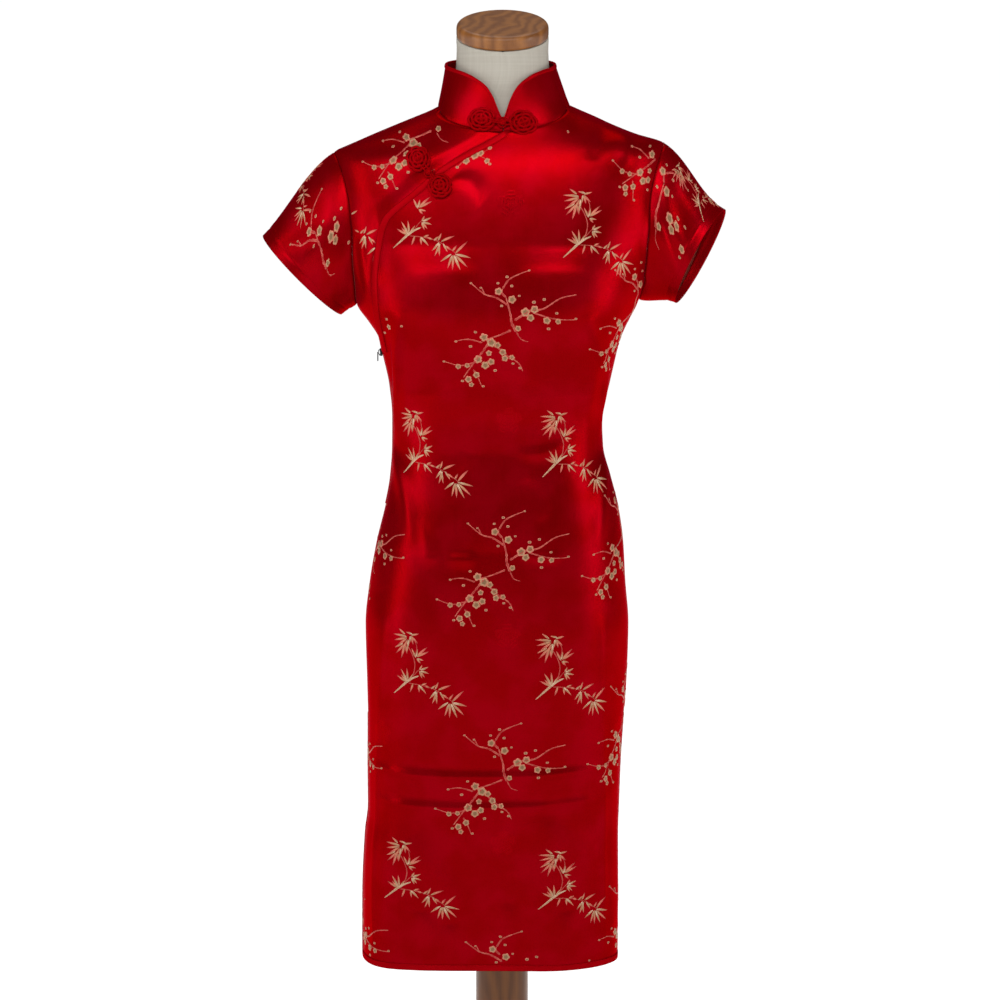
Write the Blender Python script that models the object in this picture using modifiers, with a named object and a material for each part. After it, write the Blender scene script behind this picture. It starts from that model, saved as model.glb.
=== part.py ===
# Cheongsam dress on a limbless dress form, in metres. +Z is up and the front faces -Y.
# Left and right are the viewer's, looking at the front. The origin is the middle of the base's underside.

import math
from collections import namedtuple

import bmesh
import bpy
import numpy as np
from mathutils import Matrix, Vector

MM = 0.001

# Driving sizes in millimetres
CLOTH = 1.0            # wall of a panel
SEAM = 0.3             # gap between two pieces at a seam
BINDING_RISE = 0.9     # thickness of a bound edge on its panel
BINDING_WIDTH = 7.0
COLLAR_HEIGHT = 50.0
COLLAR_WALL = 1.4
COLLAR_SEAM = SEAM + 0.4
COLLAR_BINDING = 3.2   # width of the collar's bound top edge
COLLAR_GAP = 3.0       # half the gap between the collar's front ends
HEM_LIFT = 9.0         # the hem is this much higher at the middle of the front
UNDERLAP = 14.0        # the under front reaches this far below the main front
HEM_BAND = 11.0        # the turned-in band of a sleeve's hem
ROSETTE = 12.3         # radius of a frog's petal knot
KNOB = 3.4             # radius of a frog's ball knot
CORD = 0.9             # radius of a frog's cord loop
LAP_DEPTH = CLOTH + SEAM + 0.5   # the under front lies this far below the main front
LAP_STARTS, LAP_ENDS = -28.0, -3.0   # it sinks there between these distances from the opening
LAP_NARROWS = (20.0, 60.0)       # the underlap narrows over these lengths below and above its lower end
TRIM_GAP = SEAM + 0.3            # trim on a panel stands this far off it
NECK_TILT = math.radians(19.5)
CAP_RADIUS = 53.0
CAP_THICK = 16.0
CAP_MIDDLE = 1484.9    # height of the neck's tilted top at its middle
BASE_RADIUS = 185.0
BASE_HEIGHT = 30.0
FORM_BOTTOM = 655.0

# Heights in millimetres
HEM, ZIP_TOP, ZIP_BOTTOM = 396.0, 1123.0, 942.0
LEFT_UNDERARM, LEFT_TIP, LEFT_NECK = 1178.0, 1353.0, 1405.0
RIGHT_UNDERARM, RIGHT_TIP, RIGHT_NECK = 1183.0, 1364.0, 1408.0
NECK_HALF = 73.0       # half the width of the neckline
NECK_MIDDLE_X = 1.5
NECK_FRONT = 1378.5    # lowest point of the neckline, at the middle of the front
NECK_BACK = 1413.0     # its highest point, at the middle of the back

# Horizontal sections of the worn body: reach to each side, to the front and back, and squareness
Section = namedtuple("Section", "z left right front back power")
BODY = [
    Section(380, 167.5, 137.5, 110, 116, 3.3),
    Section(470, 167.0, 138.8, 110, 116, 3.2),
    Section(545, 163.6, 138.3, 110, 116, 3.0),
    Section(580, 159.7, 139.3, 110, 117, 2.9),
    Section(630, 160.0, 141.0, 110, 118, 2.8),
    Section(680, 159.5, 144.0, 110, 119, 2.7),
    Section(728, 160.3, 147.8, 110, 120, 2.6),
    Section(800, 161.8, 149.9, 109, 120, 2.5),
    Section(850, 156.5, 146.0, 107, 116, 2.4),
    Section(898, 147.9, 143.1, 103, 106, 2.35),
    Section(940, 137.5, 137.0, 98, 94, 2.3),
    Section(975, 131.0, 128.0, 92, 82, 2.3),
    Section(1011, 128.3, 118.8, 88, 75, 2.3),
    Section(1046, 128.0, 117.4, 88, 74, 2.3),
    Section(1082, 131.0, 125.2, 93, 78, 2.3),
    Section(1111, 137.0, 131.5, 100, 84, 2.3),
    Section(1135, 143.2, 137.0, 105, 89, 2.35),
    Section(1158, 156.5, 146.5, 108, 93, 2.4),
    Section(1178, 169.0, 157.0, 109, 96, 2.4),
    Section(1205, 173.5, 165.0, 107, 99, 2.4),
    Section(1250, 181.5, 175.0, 101, 101, 2.4),
    Section(1290, 188.0, 182.5, 94, 100, 2.4),
    Section(1330, 192.0, 187.0, 85, 95, 2.35),
    Section(1346, 193.5, 188.2, 80, 91, 2.3),
    Section(1353, 194.0, 188.6, 77, 88, 2.3),
    Section(1360, 181.0, 188.8, 74, 86, 2.25),
    Section(1364, 171.5, 186.5, 72, 85, 2.2),
    Section(1374, 148.5, 155.0, 67, 81, 2.15),
    Section(1387, 117.0, 122.5, 62, 76, 2.1),
    Section(1394, 99.5, 107.5, 60, 73, 2.1),
    Section(1401, 82.5, 91.0, 58, 69, 2.05),
    Section(1405, 74.5, 82.0, 57, 66, 2.0),
    Section(1408, 71.0, 75.5, 56, 63, 2.0),
    Section(1418, 62.0, 63.5, 53, 57, 2.0),
    Section(1432, 55.0, 56.0, 51, 53, 2.0),
    Section(1450, 52.6, 53.6, 50, 51, 2.0),
    Section(1520, 52.0, 53.0, 49, 50, 2.0),
]

# Broad soft ridges in the worn cloth: side is -1 at the front and 1 at the back, across runs from
# -1 at the left seam to 1 at the right seam, and lean moves it sideways over its length
Fold = namedtuple("Fold", "side across low high lean width rise")
FOLDS = [
    Fold(-1, -0.42, 1080, 1250, 0.00, 0.20, 8.0),
    Fold(-1, 0.42, 1080, 1250, 0.00, 0.20, 8.0),
    Fold(-1, -0.66, 1010, 1165, 0.05, 0.060, 3.0),
    Fold(-1, 0.64, 1000, 1165, -0.05, 0.060, 3.2),
    Fold(-1, -0.80, 1190, 1300, 0.05, 0.050, 2.6),
    Fold(-1, 0.78, 1190, 1305, -0.05, 0.050, 2.6),
    Fold(-1, -0.52, 400, 690, 0.10, 0.090, 3.2),
    Fold(-1, 0.30, 400, 640, -0.06, 0.100, 2.6),
    Fold(-1, 0.74, 420, 720, -0.05, 0.070, 2.4),
    Fold(-1, -0.10, 900, 1010, 0.00, 0.160, 2.2),
    Fold(1, -0.40, 1000, 1170, 0.04, 0.070, 3.0),
    Fold(1, 0.40, 1000, 1170, -0.04, 0.070, 3.0),
    Fold(1, -0.45, 400, 700, 0.08, 0.100, 3.4),
    Fold(1, 0.20, 400, 660, 0.04, 0.100, 3.0),
    Fold(1, 0.66, 410, 700, -0.06, 0.080, 3.0),
    Fold(1, -0.74, 1200, 1310, 0.04, 0.060, 2.6),
    Fold(1, 0.74, 1200, 1310, -0.04, 0.060, 2.6),
]

# The slanted opening, from the neck to the top of the side zip
Station = namedtuple("Station", "x z")
PLACKET = [
    Station(3.0, 1378.5), Station(-16.0, 1367.6), Station(-36.4, 1357.2), Station(-56.7, 1345.6),
    Station(-75.9, 1332.4), Station(-92.9, 1317.5), Station(-109.9, 1303.2), Station(-123.6, 1292.4),
    Station(-134.1, 1281.0), Station(-139.9, 1265.0), Station(-143.6, 1239.0), Station(-145.6, 1209.6),
    Station(-143.8, 1174.0), Station(-140.5, 1145.0), Station(-139.0, 1123.0),
]

# How far each slit stands open: its top, and the gap at the hem before and behind the seam line
Slit = namedtuple("Slit", "top front back")
SLITS = {-1: Slit(655.0, 24.0, 3.0), 1: Slit(688.0, 12.0, 42.0)}
SLIT_BEND = 1.4        # power by which a slit's gap grows downwards

# Sleeve hems: ends of the opening seen from the front, its depth, its turn about the long axis and
# the slopes of the sleeve's top and underside where they leave the armhole, in degrees
Sleeve = namedtuple("Sleeve", "top_x top_z bottom_x bottom_z depth turn top_slope under_slope")
SLEEVES = {
    -1: Sleeve(-278.0, 1257.0, -187.0, 1165.0, 46.0, -4.0, -33.0, -40.0),
    1: Sleeve(259.0, 1287.0, 203.0, 1178.0, 47.0, 15.0, -30.0, -20.0),
}
ARMHOLE_FRONT, ARMHOLE_BACK = 50.0, 44.0
SLEEVE_BULGE = 0.28    # how far a sleeve leaves the armhole to the front and back, as a slope

# Top edge of the collar: height above the floor by the angle from the middle of the front
CollarTop = namedtuple("CollarTop", "angle z")
COLLAR_TOP = [
    CollarTop(0, 1391), CollarTop(4, 1402), CollarTop(9, 1416), CollarTop(16, 1428), CollarTop(24, 1435),
    CollarTop(40, 1443), CollarTop(62, 1449), CollarTop(90, 1454), CollarTop(135, 1459),
    CollarTop(180, 1461),
]
COLLAR_RING = {"middle_x": -2.4, "middle_y": 2.0, "half_width": 62.5, "half_depth": 59.0,
               "base_shift": 3.0}

# Clearance between the form and the outside of the worn body, by height: over the front and back,
# where two layers of cloth lie, and along the seams, where the cloth rests on it
Clearance = namedtuple("Clearance", "z broad seam")
CLEARANCES = [
    Clearance(600, 9.0, 9.0), Clearance(700, 6.0, 6.0), Clearance(820, 5.0, 5.0), Clearance(1000, 5.0, 5.0),
    Clearance(1123, 5.5, 5.5), Clearance(1290, 5.0, 4.0), Clearance(1330, 4.2, 3.0), Clearance(1352, 3.8, 3.0),
    Clearance(1366, 3.6, 2.7), Clearance(1380, 3.5, 1.9), Clearance(1400, 3.4, 1.9), Clearance(1408, 3.4, 2.4),
    Clearance(1414, 4.0, 3.6), Clearance(1425, 3.0, 3.0), Clearance(1450, 0.0, 0.0), Clearance(1520, 0.0, 0.0),
]

# Turned profiles as radius and height, from the middle at the top to the middle at the bottom
Turn = namedtuple("Turn", "radius z")
COLUMN_PROFILE = [
    Turn(34.0, FORM_BOTTOM - SEAM), Turn(36.0, 640.0), Turn(33.0, 628.0), Turn(29.0, 616.0),
    Turn(29.5, 540.0), Turn(30.5, 430.0), Turn(31.5, 350.0), Turn(31.0, 250.0), Turn(28.0, 130.0),
    Turn(30.0, 112.0), Turn(38.0, 100.0), Turn(38.0, 90.0), Turn(30.0, 80.0), Turn(32.0, 62.0),
    Turn(44.0, 44.0), Turn(58.0, BASE_HEIGHT + SEAM),
]
BASE_PROFILE = [
    Turn(96.0, BASE_HEIGHT), Turn(112.0, 27.0), Turn(170.0, 20.0), Turn(178.0, 18.0),
    Turn(BASE_RADIUS, 12.0), Turn(BASE_RADIUS, 3.0), Turn(BASE_RADIUS - 3.0, 0.0),
]

SATIN_RED = (0.33, 0.002, 0.006, 1.0)
TRIM_RED = (0.42, 0.006, 0.014, 1.0)
LINEN = (0.57, 0.53, 0.45, 1.0)
CAP_WOOD = (0.20, 0.105, 0.030, 1.0)
STAND_WOOD = (0.178, 0.072, 0.012, 1.0)
DARK_METAL = (0.05, 0.045, 0.045, 1.0)


def monotone(heights, values, at):
    """Smooth curve through a table column (monotone cubic), read at the given heights."""
    heights = np.asarray(heights, float)
    values = np.asarray(values, float)
    steps = np.diff(heights)
    slopes = np.diff(values) / steps
    tangents = np.zeros(len(values))
    same = slopes[:-1] * slopes[1:] > 0
    mean = 2 * slopes[:-1] * slopes[1:] / np.where(same, slopes[:-1] + slopes[1:], 1.0)
    tangents[1:-1] = np.where(same, mean, 0.0)
    tangents[0], tangents[-1] = slopes[0], slopes[-1]
    at = np.clip(np.asarray(at, float), heights[0], heights[-1])
    index = np.clip(np.searchsorted(heights, at, side="right") - 1, 0, len(steps) - 1)
    t = (at - heights[index]) / steps[index]
    keep = (1 + 2 * t) * (1 - t) ** 2 * values[index] + t * t * (3 - 2 * t) * values[index + 1]
    lean = t * (1 - t) ** 2 * tangents[index] - t * t * (1 - t) * tangents[index + 1]
    return keep + lean * steps[index]


def column(table, name, at):
    """One named column of a table, as a smooth curve along the table's first column."""
    first = table[0]._fields[0]
    return monotone([getattr(row, first) for row in table], [getattr(row, name) for row in table], at)


def smoothstep(low, high, value):
    t = np.clip((np.asarray(value, float) - low) / (high - low), 0.0, 1.0)
    return t * t * (3 - 2 * t)


def unit(vectors):
    return vectors / np.maximum(np.linalg.norm(vectors, axis=-1, keepdims=True), 1e-12)


# The worn body as a surface

SAMPLES = 121


def half_section(side, z):
    """Points of a half section at each height, left to right, with their running length."""
    left, right = column(BODY, "left", z)[:, None], column(BODY, "right", z)[:, None]
    depth = column(BODY, "front" if side < 0 else "back", z)[:, None]
    power = column(BODY, "power", z)[:, None]
    angle = np.linspace(math.pi, 0.0, SAMPLES)[None, :]
    half = (left + right) / 2
    reach = (np.abs(np.cos(angle) / half) ** power + np.abs(np.sin(angle) / depth) ** power) ** (-1 / power)
    x = (right - left) / 2 + reach * np.cos(angle)
    y = side * reach * np.abs(np.sin(angle))
    length = np.hypot(np.diff(x, axis=1), np.diff(y, axis=1)).cumsum(axis=1)
    return x, y, np.concatenate([np.zeros((len(x), 1)), length], axis=1)


def read_rows(grid, key, wanted):
    """In each row of grid, the value where key, which rises along the row, equals wanted."""
    index = np.clip((key < wanted[:, None]).sum(axis=1), 1, key.shape[1] - 1)
    row = np.arange(len(index))
    low, high = key[row, index - 1], key[row, index]
    t = np.clip((wanted - low) / np.maximum(high - low, 1e-9), 0.0, 1.0)
    return grid[row, index - 1] * (1 - t) + grid[row, index] * t


def seam_length(side, z):
    """Length of cloth from the middle of a half section to its seam line, in millimetres."""
    z = np.atleast_1d(np.asarray(z, float))
    return half_section(side, z)[2][:, -1] / 2


def across_at(side, x, z):
    """Place across a half section, from -1 to 1, of the point at x and height z."""
    x, z = np.broadcast_arrays(np.asarray(x, float), np.asarray(z, float))
    xs, _, length = half_section(side, z.ravel())
    share = read_rows(length / length[:, -1:], xs, x.ravel())
    return (share * 2 - 1).reshape(x.shape)


def bare_point(side, across, z):
    across, z = np.broadcast_arrays(np.asarray(across, float), np.asarray(z, float))
    flat_across, flat_z = np.clip(across.ravel(), -1, 1), z.ravel()
    x, y, length = half_section(side, flat_z)
    wanted = (flat_across + 1) / 2 * length[:, -1]
    point = np.stack([read_rows(x, length, wanted), read_rows(y, length, wanted), flat_z], axis=-1)
    return point.reshape(across.shape + (3,))


def bare_normal(side, across, z):
    """Outward direction of the smooth body, from small steps across and up."""
    step, rise = 0.012, 1.5
    across, z = np.broadcast_arrays(np.asarray(across, float), np.asarray(z, float))
    along = bare_point(side, across + step, z) - bare_point(side, across - step, z)
    up = bare_point(side, across, z + rise) - bare_point(side, across, z - rise)
    return unit(np.cross(along, up)) if side < 0 else unit(np.cross(up, along))


def fold_rise(side, across, z):
    """Height of the soft ridges: a bell across each fold, fading at both ends of its length."""
    total = np.zeros(np.broadcast(across, z).shape)
    for fold in FOLDS:
        if fold.side == side:
            share = np.clip((z - fold.low) / (fold.high - fold.low), 0.0, 1.0)
            middle = fold.across + fold.lean * (share - 0.5)
            fade = np.sin(np.pi * share) ** 0.8 if fold.low > 450 else smoothstep(1.0, 0.4, share)
            total = total + fold.rise * np.exp(-(((across - middle) / fold.width) ** 2) / 2) * fade
    return total * smoothstep(1.0, 0.93, np.abs(across))


def hem_rise(side, across, z):
    """Lifts the middle of the front hem, less and less up the skirt."""
    return HEM_LIFT * (side < 0) * (1 - np.abs(across) ** 2.5) * smoothstep(HEM + 190, HEM, z)


def cloth_point(side, across, z):
    point = bare_point(side, across, z)
    point = point + bare_normal(side, across, z) * fold_rise(side, across, z)[..., None]
    point[..., 2] += hem_rise(side, across, z)
    return point


def cloth_normal(side, across, z):
    step, rise = 0.012, 2.0
    across, z = np.broadcast_arrays(np.asarray(across, float), np.asarray(z, float))
    left, right = np.clip(across - step, -1, 1), np.clip(across + step, -1, 1)
    along = cloth_point(side, right, z) - cloth_point(side, left, z)
    up = cloth_point(side, across, z + rise) - cloth_point(side, across, z - rise)
    normal = np.cross(along, up) if side < 0 else np.cross(up, along)
    at_seam = np.abs(across) > 0.999
    return np.where(at_seam[..., None], bare_normal(side, across, z), unit(normal))


# Edges of the panels, as places across and heights

SKIRT_ROWS = [HEM, HEM + BINDING_WIDTH, 455.0, 515.0, 575.0, 630.0, 655.0, 688.0, 740.0, 795.0, 848.0, 898.0,
              ZIP_BOTTOM, 985.0, 1030.0, 1075.0, 1101.0, ZIP_TOP, 1146.0, 1164.0]
ARM_ANGLES = np.radians([0, 20, 40, 60, 80, 100, 120, 140, 160, 180])
SHOULDER_SHARES = [0.2, 0.4, 0.6, 0.8, 1.0]
HEIGHTS = {-1: (LEFT_UNDERARM, LEFT_TIP, LEFT_NECK), 1: (RIGHT_UNDERARM, RIGHT_TIP, RIGHT_NECK)}


def slit_gap(side, hand, z):
    """Half-open slit: the gap grows from nothing at its top to its full width at the hem."""
    slit = SLITS[hand]
    width = slit.front if side < 0 else slit.back
    return width * np.clip((slit.top - z) / (slit.top - HEM), 0.0, 1.0) ** SLIT_BEND


def armhole(side, hand, angle):
    """Armhole edge from the underarm, angle 0, to the shoulder tip, angle pi."""
    underarm, tip, _ = HEIGHTS[hand]
    z = underarm + (tip - underarm) * (1 - np.cos(angle)) / 2
    depth = (ARMHOLE_FRONT if side < 0 else ARMHOLE_BACK) * np.sin(angle)
    return hand * (1 - depth / seam_length(side, z)), z


def side_edge(side, hand):
    """A panel's whole side edge: slit, side seam, armhole and shoulder seam."""
    skirt = np.array(SKIRT_ROWS)
    arm_across, arm_z = armhole(side, hand, ARM_ANGLES)
    _, tip, neck = HEIGHTS[hand]
    shoulder = tip + (neck - tip) * np.array(SHOULDER_SHARES)
    low = hand * (1 - slit_gap(side, hand, skirt) / seam_length(side, skirt))
    across = np.concatenate([low, arm_across, np.full(len(shoulder), float(hand))])
    return across, np.concatenate([skirt, arm_z, shoulder])


def placket_x(z):
    rising = PLACKET[::-1]
    return monotone([s.z for s in rising], [s.x for s in rising], z)


def neckline(side, hand, share):
    """Neckline from the middle, share 0, to the neck point at a shoulder seam, share 1."""
    angle = np.asarray(share, float) * math.pi / 2
    neck = HEIGHTS[hand][2]
    middle = NECK_FRONT if side < 0 else NECK_BACK
    z = middle + (neck - middle) * (1 - np.cos(angle))
    x = NECK_MIDDLE_X + hand * (NECK_HALF + NECK_MIDDLE_X) * np.sin(angle)
    across = across_at(side, x, z)
    return np.where(np.asarray(share) >= 1, float(hand), across), z


# Making meshes

def finish(name, vertices, faces, material, smooth=True):
    """Adds an object to the part's collection from points in millimetres."""
    mesh = bpy.data.meshes.new(name)
    mesh.from_pydata((np.asarray(vertices) * MM).tolist(), [], faces)
    mesh.validate()
    body = bmesh.new()
    body.from_mesh(mesh)
    bmesh.ops.remove_doubles(body, verts=body.verts, dist=1e-7)
    bmesh.ops.recalc_face_normals(body, faces=body.faces)
    body.to_mesh(mesh)
    body.free()
    if smooth:
        mesh.shade_smooth()
        mesh.set_sharp_from_angle(angle=math.radians(40))
    mesh.materials.append(material)
    added = bpy.data.objects.new(name, mesh)
    parts.objects.link(added)
    return added


def wall(name, outer, inner, material, closed=False):
    """Closed cloth wall between two grids of the same shape; closed joins the last column to the first."""
    rows, columns = outer.shape[:2]
    vertices = np.concatenate([outer.reshape(-1, 3), inner.reshape(-1, 3)])
    shift = rows * columns
    faces = []
    spans = columns if closed else columns - 1
    for row in range(rows - 1):
        for start in range(spans):
            end = (start + 1) % columns
            a, b = row * columns + start, row * columns + end
            c, d = (row + 1) * columns + end, (row + 1) * columns + start
            faces.append((a, b, c, d))
            faces.append((a + shift, d + shift, c + shift, b + shift))
    for start in range(spans):
        end = (start + 1) % columns
        last = (rows - 1) * columns
        faces.append((start, start + shift, end + shift, end))
        faces.append((last + start, last + end, last + end + shift, last + start + shift))
    if not closed:
        for row in range(rows - 1):
            low, high = row * columns, (row + 1) * columns
            faces.append((low, high, high + shift, low + shift))
            low, high = low + columns - 1, high + columns - 1
            faces.append((low, low + shift, high + shift, high))
    return finish(name, vertices, faces, material)


def seam_shift(side):
    return np.array([0.0, side * SEAM / 2, 0.0])


def panel_wall(name, side, grid, material, depth, edge_normals=()):
    """A panel from its grid of places. depth is how far each point lies below the body's surface."""
    across, z = grid
    point = cloth_point(side, across, z) + seam_shift(side)
    normal = cloth_normal(side, across, z)
    for rows, where, values in edge_normals:
        normal[rows, where] = values
    outer = point - normal * depth[..., None]
    return wall(name, outer, outer - normal * CLOTH, material)


# Sleeves

RING_ANGLES = np.concatenate([ARM_ANGLES, 2 * math.pi - ARM_ANGLES[-2:0:-1]])


def armhole_ring(hand):
    """Points and body normals round an armhole: up the front edge, then down the back edge."""
    front, back = armhole(-1, hand, ARM_ANGLES), armhole(1, hand, ARM_ANGLES[-2:0:-1])
    point = np.concatenate([cloth_point(-1, *front), cloth_point(1, *back)])
    normal = np.concatenate([bare_normal(-1, *front), bare_normal(1, *back)])
    point[1:len(ARM_ANGLES) - 1] += seam_shift(-1)
    point[len(ARM_ANGLES):] += seam_shift(1)
    return point, normal


def hem_ring(hand):
    """Tilted oval of a sleeve's hem, the direction in which it opens, and the ring's points."""
    sleeve = SLEEVES[hand]
    top, bottom = (sleeve.top_x, sleeve.top_z), (sleeve.bottom_x, sleeve.bottom_z)
    middle = np.array([(top[0] + bottom[0]) / 2, 2.0, (top[1] + bottom[1]) / 2])
    long_half = np.array([(top[0] - bottom[0]) / 2, 0.0, (top[1] - bottom[1]) / 2])
    opens = unit(np.array([hand * abs(long_half[2]), 0.0, -abs(long_half[0])]))
    turn = math.radians(sleeve.turn)
    deep = np.array([0.0, math.cos(turn), 0.0]) + opens * math.sin(turn)
    angle = RING_ANGLES[:, None]
    ring = middle - long_half * np.cos(angle) - deep * sleeve.depth * np.sin(angle)
    return ring, unit(np.cross(long_half, deep)) * -hand


def sleeve_frame(hand):
    """Armhole points, hem points, starting directions and the seam's shared normals."""
    start, body_normal = armhole_ring(hand)
    end, opens = hem_ring(hand)
    sleeve = SLEEVES[hand]
    lift = (1 - np.cos(RING_ANGLES)) / 2
    slope = np.radians(sleeve.under_slope + (sleeve.top_slope - sleeve.under_slope) * lift)
    bulge = -np.sin(RING_ANGLES) * SLEEVE_BULGE
    leave = unit(np.stack([hand * np.cos(slope), bulge, np.sin(slope)], axis=-1))
    edge = unit(np.roll(start, -1, axis=0) - np.roll(start, 1, axis=0))
    sleeve_normal = unit(np.cross(edge, leave)) * hand
    sleeve_normal *= np.sign((sleeve_normal * (start - start.mean(axis=0))).sum(axis=-1, keepdims=True))
    shared = unit(body_normal + sleeve_normal)
    out = unit(np.cross(edge, shared))
    out *= np.sign((out * leave).sum(axis=-1, keepdims=True))
    return start + out * SEAM, end, leave, opens, shared


def sleeve_surface(hand, shares):
    """Sleeve points and outward normals: each line runs from the armhole to the hem as a cubic curve.
    The shares cover the stretch above the hem band, and the last row is the hem."""
    start, end, leave, opens, shared = sleeve_frame(hand)
    reach = np.linalg.norm(end - start, axis=-1, keepdims=True)
    band = 1 - np.minimum(HEM_BAND / reach, 0.5)
    t = np.concatenate([np.asarray(shares, float)[:, None, None] * band[None], np.ones((1,) + band.shape)])
    start_weight, end_weight = (1 + 2 * t) * (1 - t) ** 2, t * t * (3 - 2 * t)
    point = start_weight * start + end_weight * end
    point = point + t * (1 - t) ** 2 * leave * reach - t * t * (1 - t) * opens * reach
    around = np.roll(point, -1, axis=1) - np.roll(point, 1, axis=1)
    along = np.gradient(point, axis=0)
    normal = unit(np.cross(around, along))
    middle = point.mean(axis=1, keepdims=True)
    normal *= np.sign((normal * (point - middle)).sum(axis=(1, 2), keepdims=True))
    normal[0] = shared
    return point, normal


SLEEVE_SHARES = [0.0, 0.09, 0.3, 0.55, 0.78, 1.0]


def make_sleeve(name, hand, material):
    point, normal = sleeve_surface(hand, SLEEVE_SHARES)
    wall(name, point, point - normal * CLOTH, material, closed=True)


def make_sleeve_band(name, hand, material):
    """Turned-in hem band: the last two rows of the sleeve, moved inwards."""
    point, normal = sleeve_surface(hand, SLEEVE_SHARES)
    outer = point[-2:] - normal[-2:] * (CLOTH + TRIM_GAP)
    wall(name, outer, outer - normal[-2:] * CLOTH, material, closed=True)


def seam_normals(hand):
    """Shared normals along the front edge and along the back edge, from underarm to tip."""
    shared = sleeve_frame(hand)[4]
    count = len(ARM_ANGLES)
    back = np.concatenate([shared[:1], shared[count:][::-1], shared[count - 1:count]])
    return shared[:count], back


# Panels

ARM_ROWS = slice(len(SKIRT_ROWS), len(SKIRT_ROWS) + len(ARM_ANGLES))

# Columns of a panel as shares of its width: the first is a binding's width, and they crowd at the seams
HALF_COLUMNS = [0.0, 0.015, 0.043, 0.083, 0.135, 0.2, 0.27, 0.345, 0.422]
COLUMNS = np.array(HALF_COLUMNS + [0.5] + [1 - share for share in HALF_COLUMNS[::-1]])

TOP_BEND = 1290.0      # rows above this height bend towards the neckline


def fill(left, right, top, columns, blend):
    """Panel grid of places: rows join the side edges straight, and the top row's bend fades in by blend."""
    grids = []
    for part in range(2):
        straight = left[part][:, None] * (1 - columns) + right[part][:, None] * columns
        grids.append(straight + (top[part] - straight[-1])[None, :] * blend[:, None])
    return grids


def back_grid():
    left, right = side_edge(1, -1), side_edge(1, 1)
    share = np.abs(COLUMNS * 2 - 1)
    halves = [neckline(1, hand, share) for hand in (-1, 1)]
    top = [np.where(COLUMNS < 0.5, halves[0][part], halves[1][part]) for part in range(2)]
    z = (left[1] + right[1]) / 2
    return fill(left, right, top, COLUMNS, smoothstep(TOP_BEND, z[-1], z))


def make_back(material):
    grids = back_grid()
    edges = [(ARM_ROWS, 0, seam_normals(-1)[1]), (ARM_ROWS, -1, seam_normals(1)[1])]
    panel_wall("back_panel", 1, grids, material, np.zeros(grids[0].shape), edges)


def placket_edge(z_of_rows):
    """Places of the slanted opening at the given heights."""
    return across_at(-1, placket_x(z_of_rows), z_of_rows), z_of_rows


def opening_heights(z):
    """Heights on the opening that answer the heights of the panel's far edge."""
    last_shared = SKIRT_ROWS[-1]
    return np.interp(z, [HEM, last_shared, RIGHT_UNDERARM, RIGHT_NECK],
                     [HEM, last_shared, LEFT_UNDERARM, NECK_FRONT])


def front_grid():
    right = side_edge(-1, 1)
    left_seam = side_edge(-1, -1)
    z_left = opening_heights(right[1])
    at_opening = z_left > ZIP_TOP - 1e-6
    seam_count = int(np.sum(~at_opening))
    opening = placket_edge(z_left[at_opening])
    left = [np.concatenate([left_seam[part][:seam_count], opening[part]]) for part in range(2)]
    return fill(left, right, neckline(-1, 1, COLUMNS), COLUMNS, smoothstep(TOP_BEND, right[1][-1], right[1]))


def make_front(material):
    grids = front_grid()
    edges = [(ARM_ROWS, -1, seam_normals(1)[0])]
    panel_wall("front_panel", -1, grids, material, np.zeros(grids[0].shape), edges)


def make_under_front(material):
    """Small left front. It sinks below the main front along the opening."""
    first = SKIRT_ROWS.index(ZIP_TOP) + 1
    left = [edge[first:] for edge in side_edge(-1, -1)]
    low = left[1][0]
    z_right = np.interp(left[1], [low, LEFT_UNDERARM, LEFT_NECK], [low, LEFT_UNDERARM, NECK_FRONT])
    lap = UNDERLAP * smoothstep(low - LAP_NARROWS[0], low + LAP_NARROWS[1], z_right)
    right = [across_at(-1, placket_x(z_right) + lap, z_right), z_right]
    columns = np.array([0.0, 0.03, 0.08, 0.16, 0.27, 0.41, 0.55, 0.68, 0.8, 0.9, 1.0])
    top = [part.copy() for part in neckline(-1, -1, 1 - columns)]
    top[0][-1], top[1][-1] = right[0][-1], right[1][-1]
    grids = fill(left, right, top, columns, smoothstep(TOP_BEND - 40.0, left[1][-1], left[1]))
    place = bare_point(-1, *grids)
    gap = place[..., 0] - placket_x(place[..., 2])
    depth = LAP_DEPTH * smoothstep(LAP_STARTS, LAP_ENDS, gap)
    arm = slice(len(SKIRT_ROWS) - first, len(SKIRT_ROWS) - first + len(ARM_ANGLES))
    panel_wall("under_front_panel", -1, grids, material, depth, [(arm, 0, seam_normals(-1)[0])])


# Bindings

def raise_strip(name, point, normal, material, low=TRIM_GAP):
    """Trim on a panel: two lines of its points, moved out."""
    wall(name, point + normal * (low + BINDING_RISE), point + normal * low, material)


def hem_cells(slit_rows, columns):
    """Outer and inner grid places of a binding: down the left slit, along the hem, up the right slit."""
    last = columns - 1
    down = [((row, 0), (row, 1)) for row in range(slit_rows, 0, -1)]
    corner = [((0, 0), (1, 1)), ((0, 1), (1, 1))]
    along = [((0, column), (1, column)) for column in range(2, last - 1)]
    far_corner = [((0, last - 1), (1, last - 1)), ((0, last), (1, last - 1))]
    up = [((row, last), (row, last - 1)) for row in range(1, slit_rows + 1)]
    return down + corner + along + far_corner + up


def make_hem_bindings(material):
    for name, side, grids in (("hem_binding_front", -1, front_grid()), ("hem_binding_back", 1, back_grid())):
        point = cloth_point(side, *grids) + seam_shift(side)
        normal = cloth_normal(side, *grids)
        slit_rows = SKIRT_ROWS.index(SLITS[1].top)
        cells = np.array(hem_cells(slit_rows, len(COLUMNS)))
        rows, columns = cells[..., 0].T, cells[..., 1].T
        raise_strip(name, point[rows, columns], normal[rows, columns], material)


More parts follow.
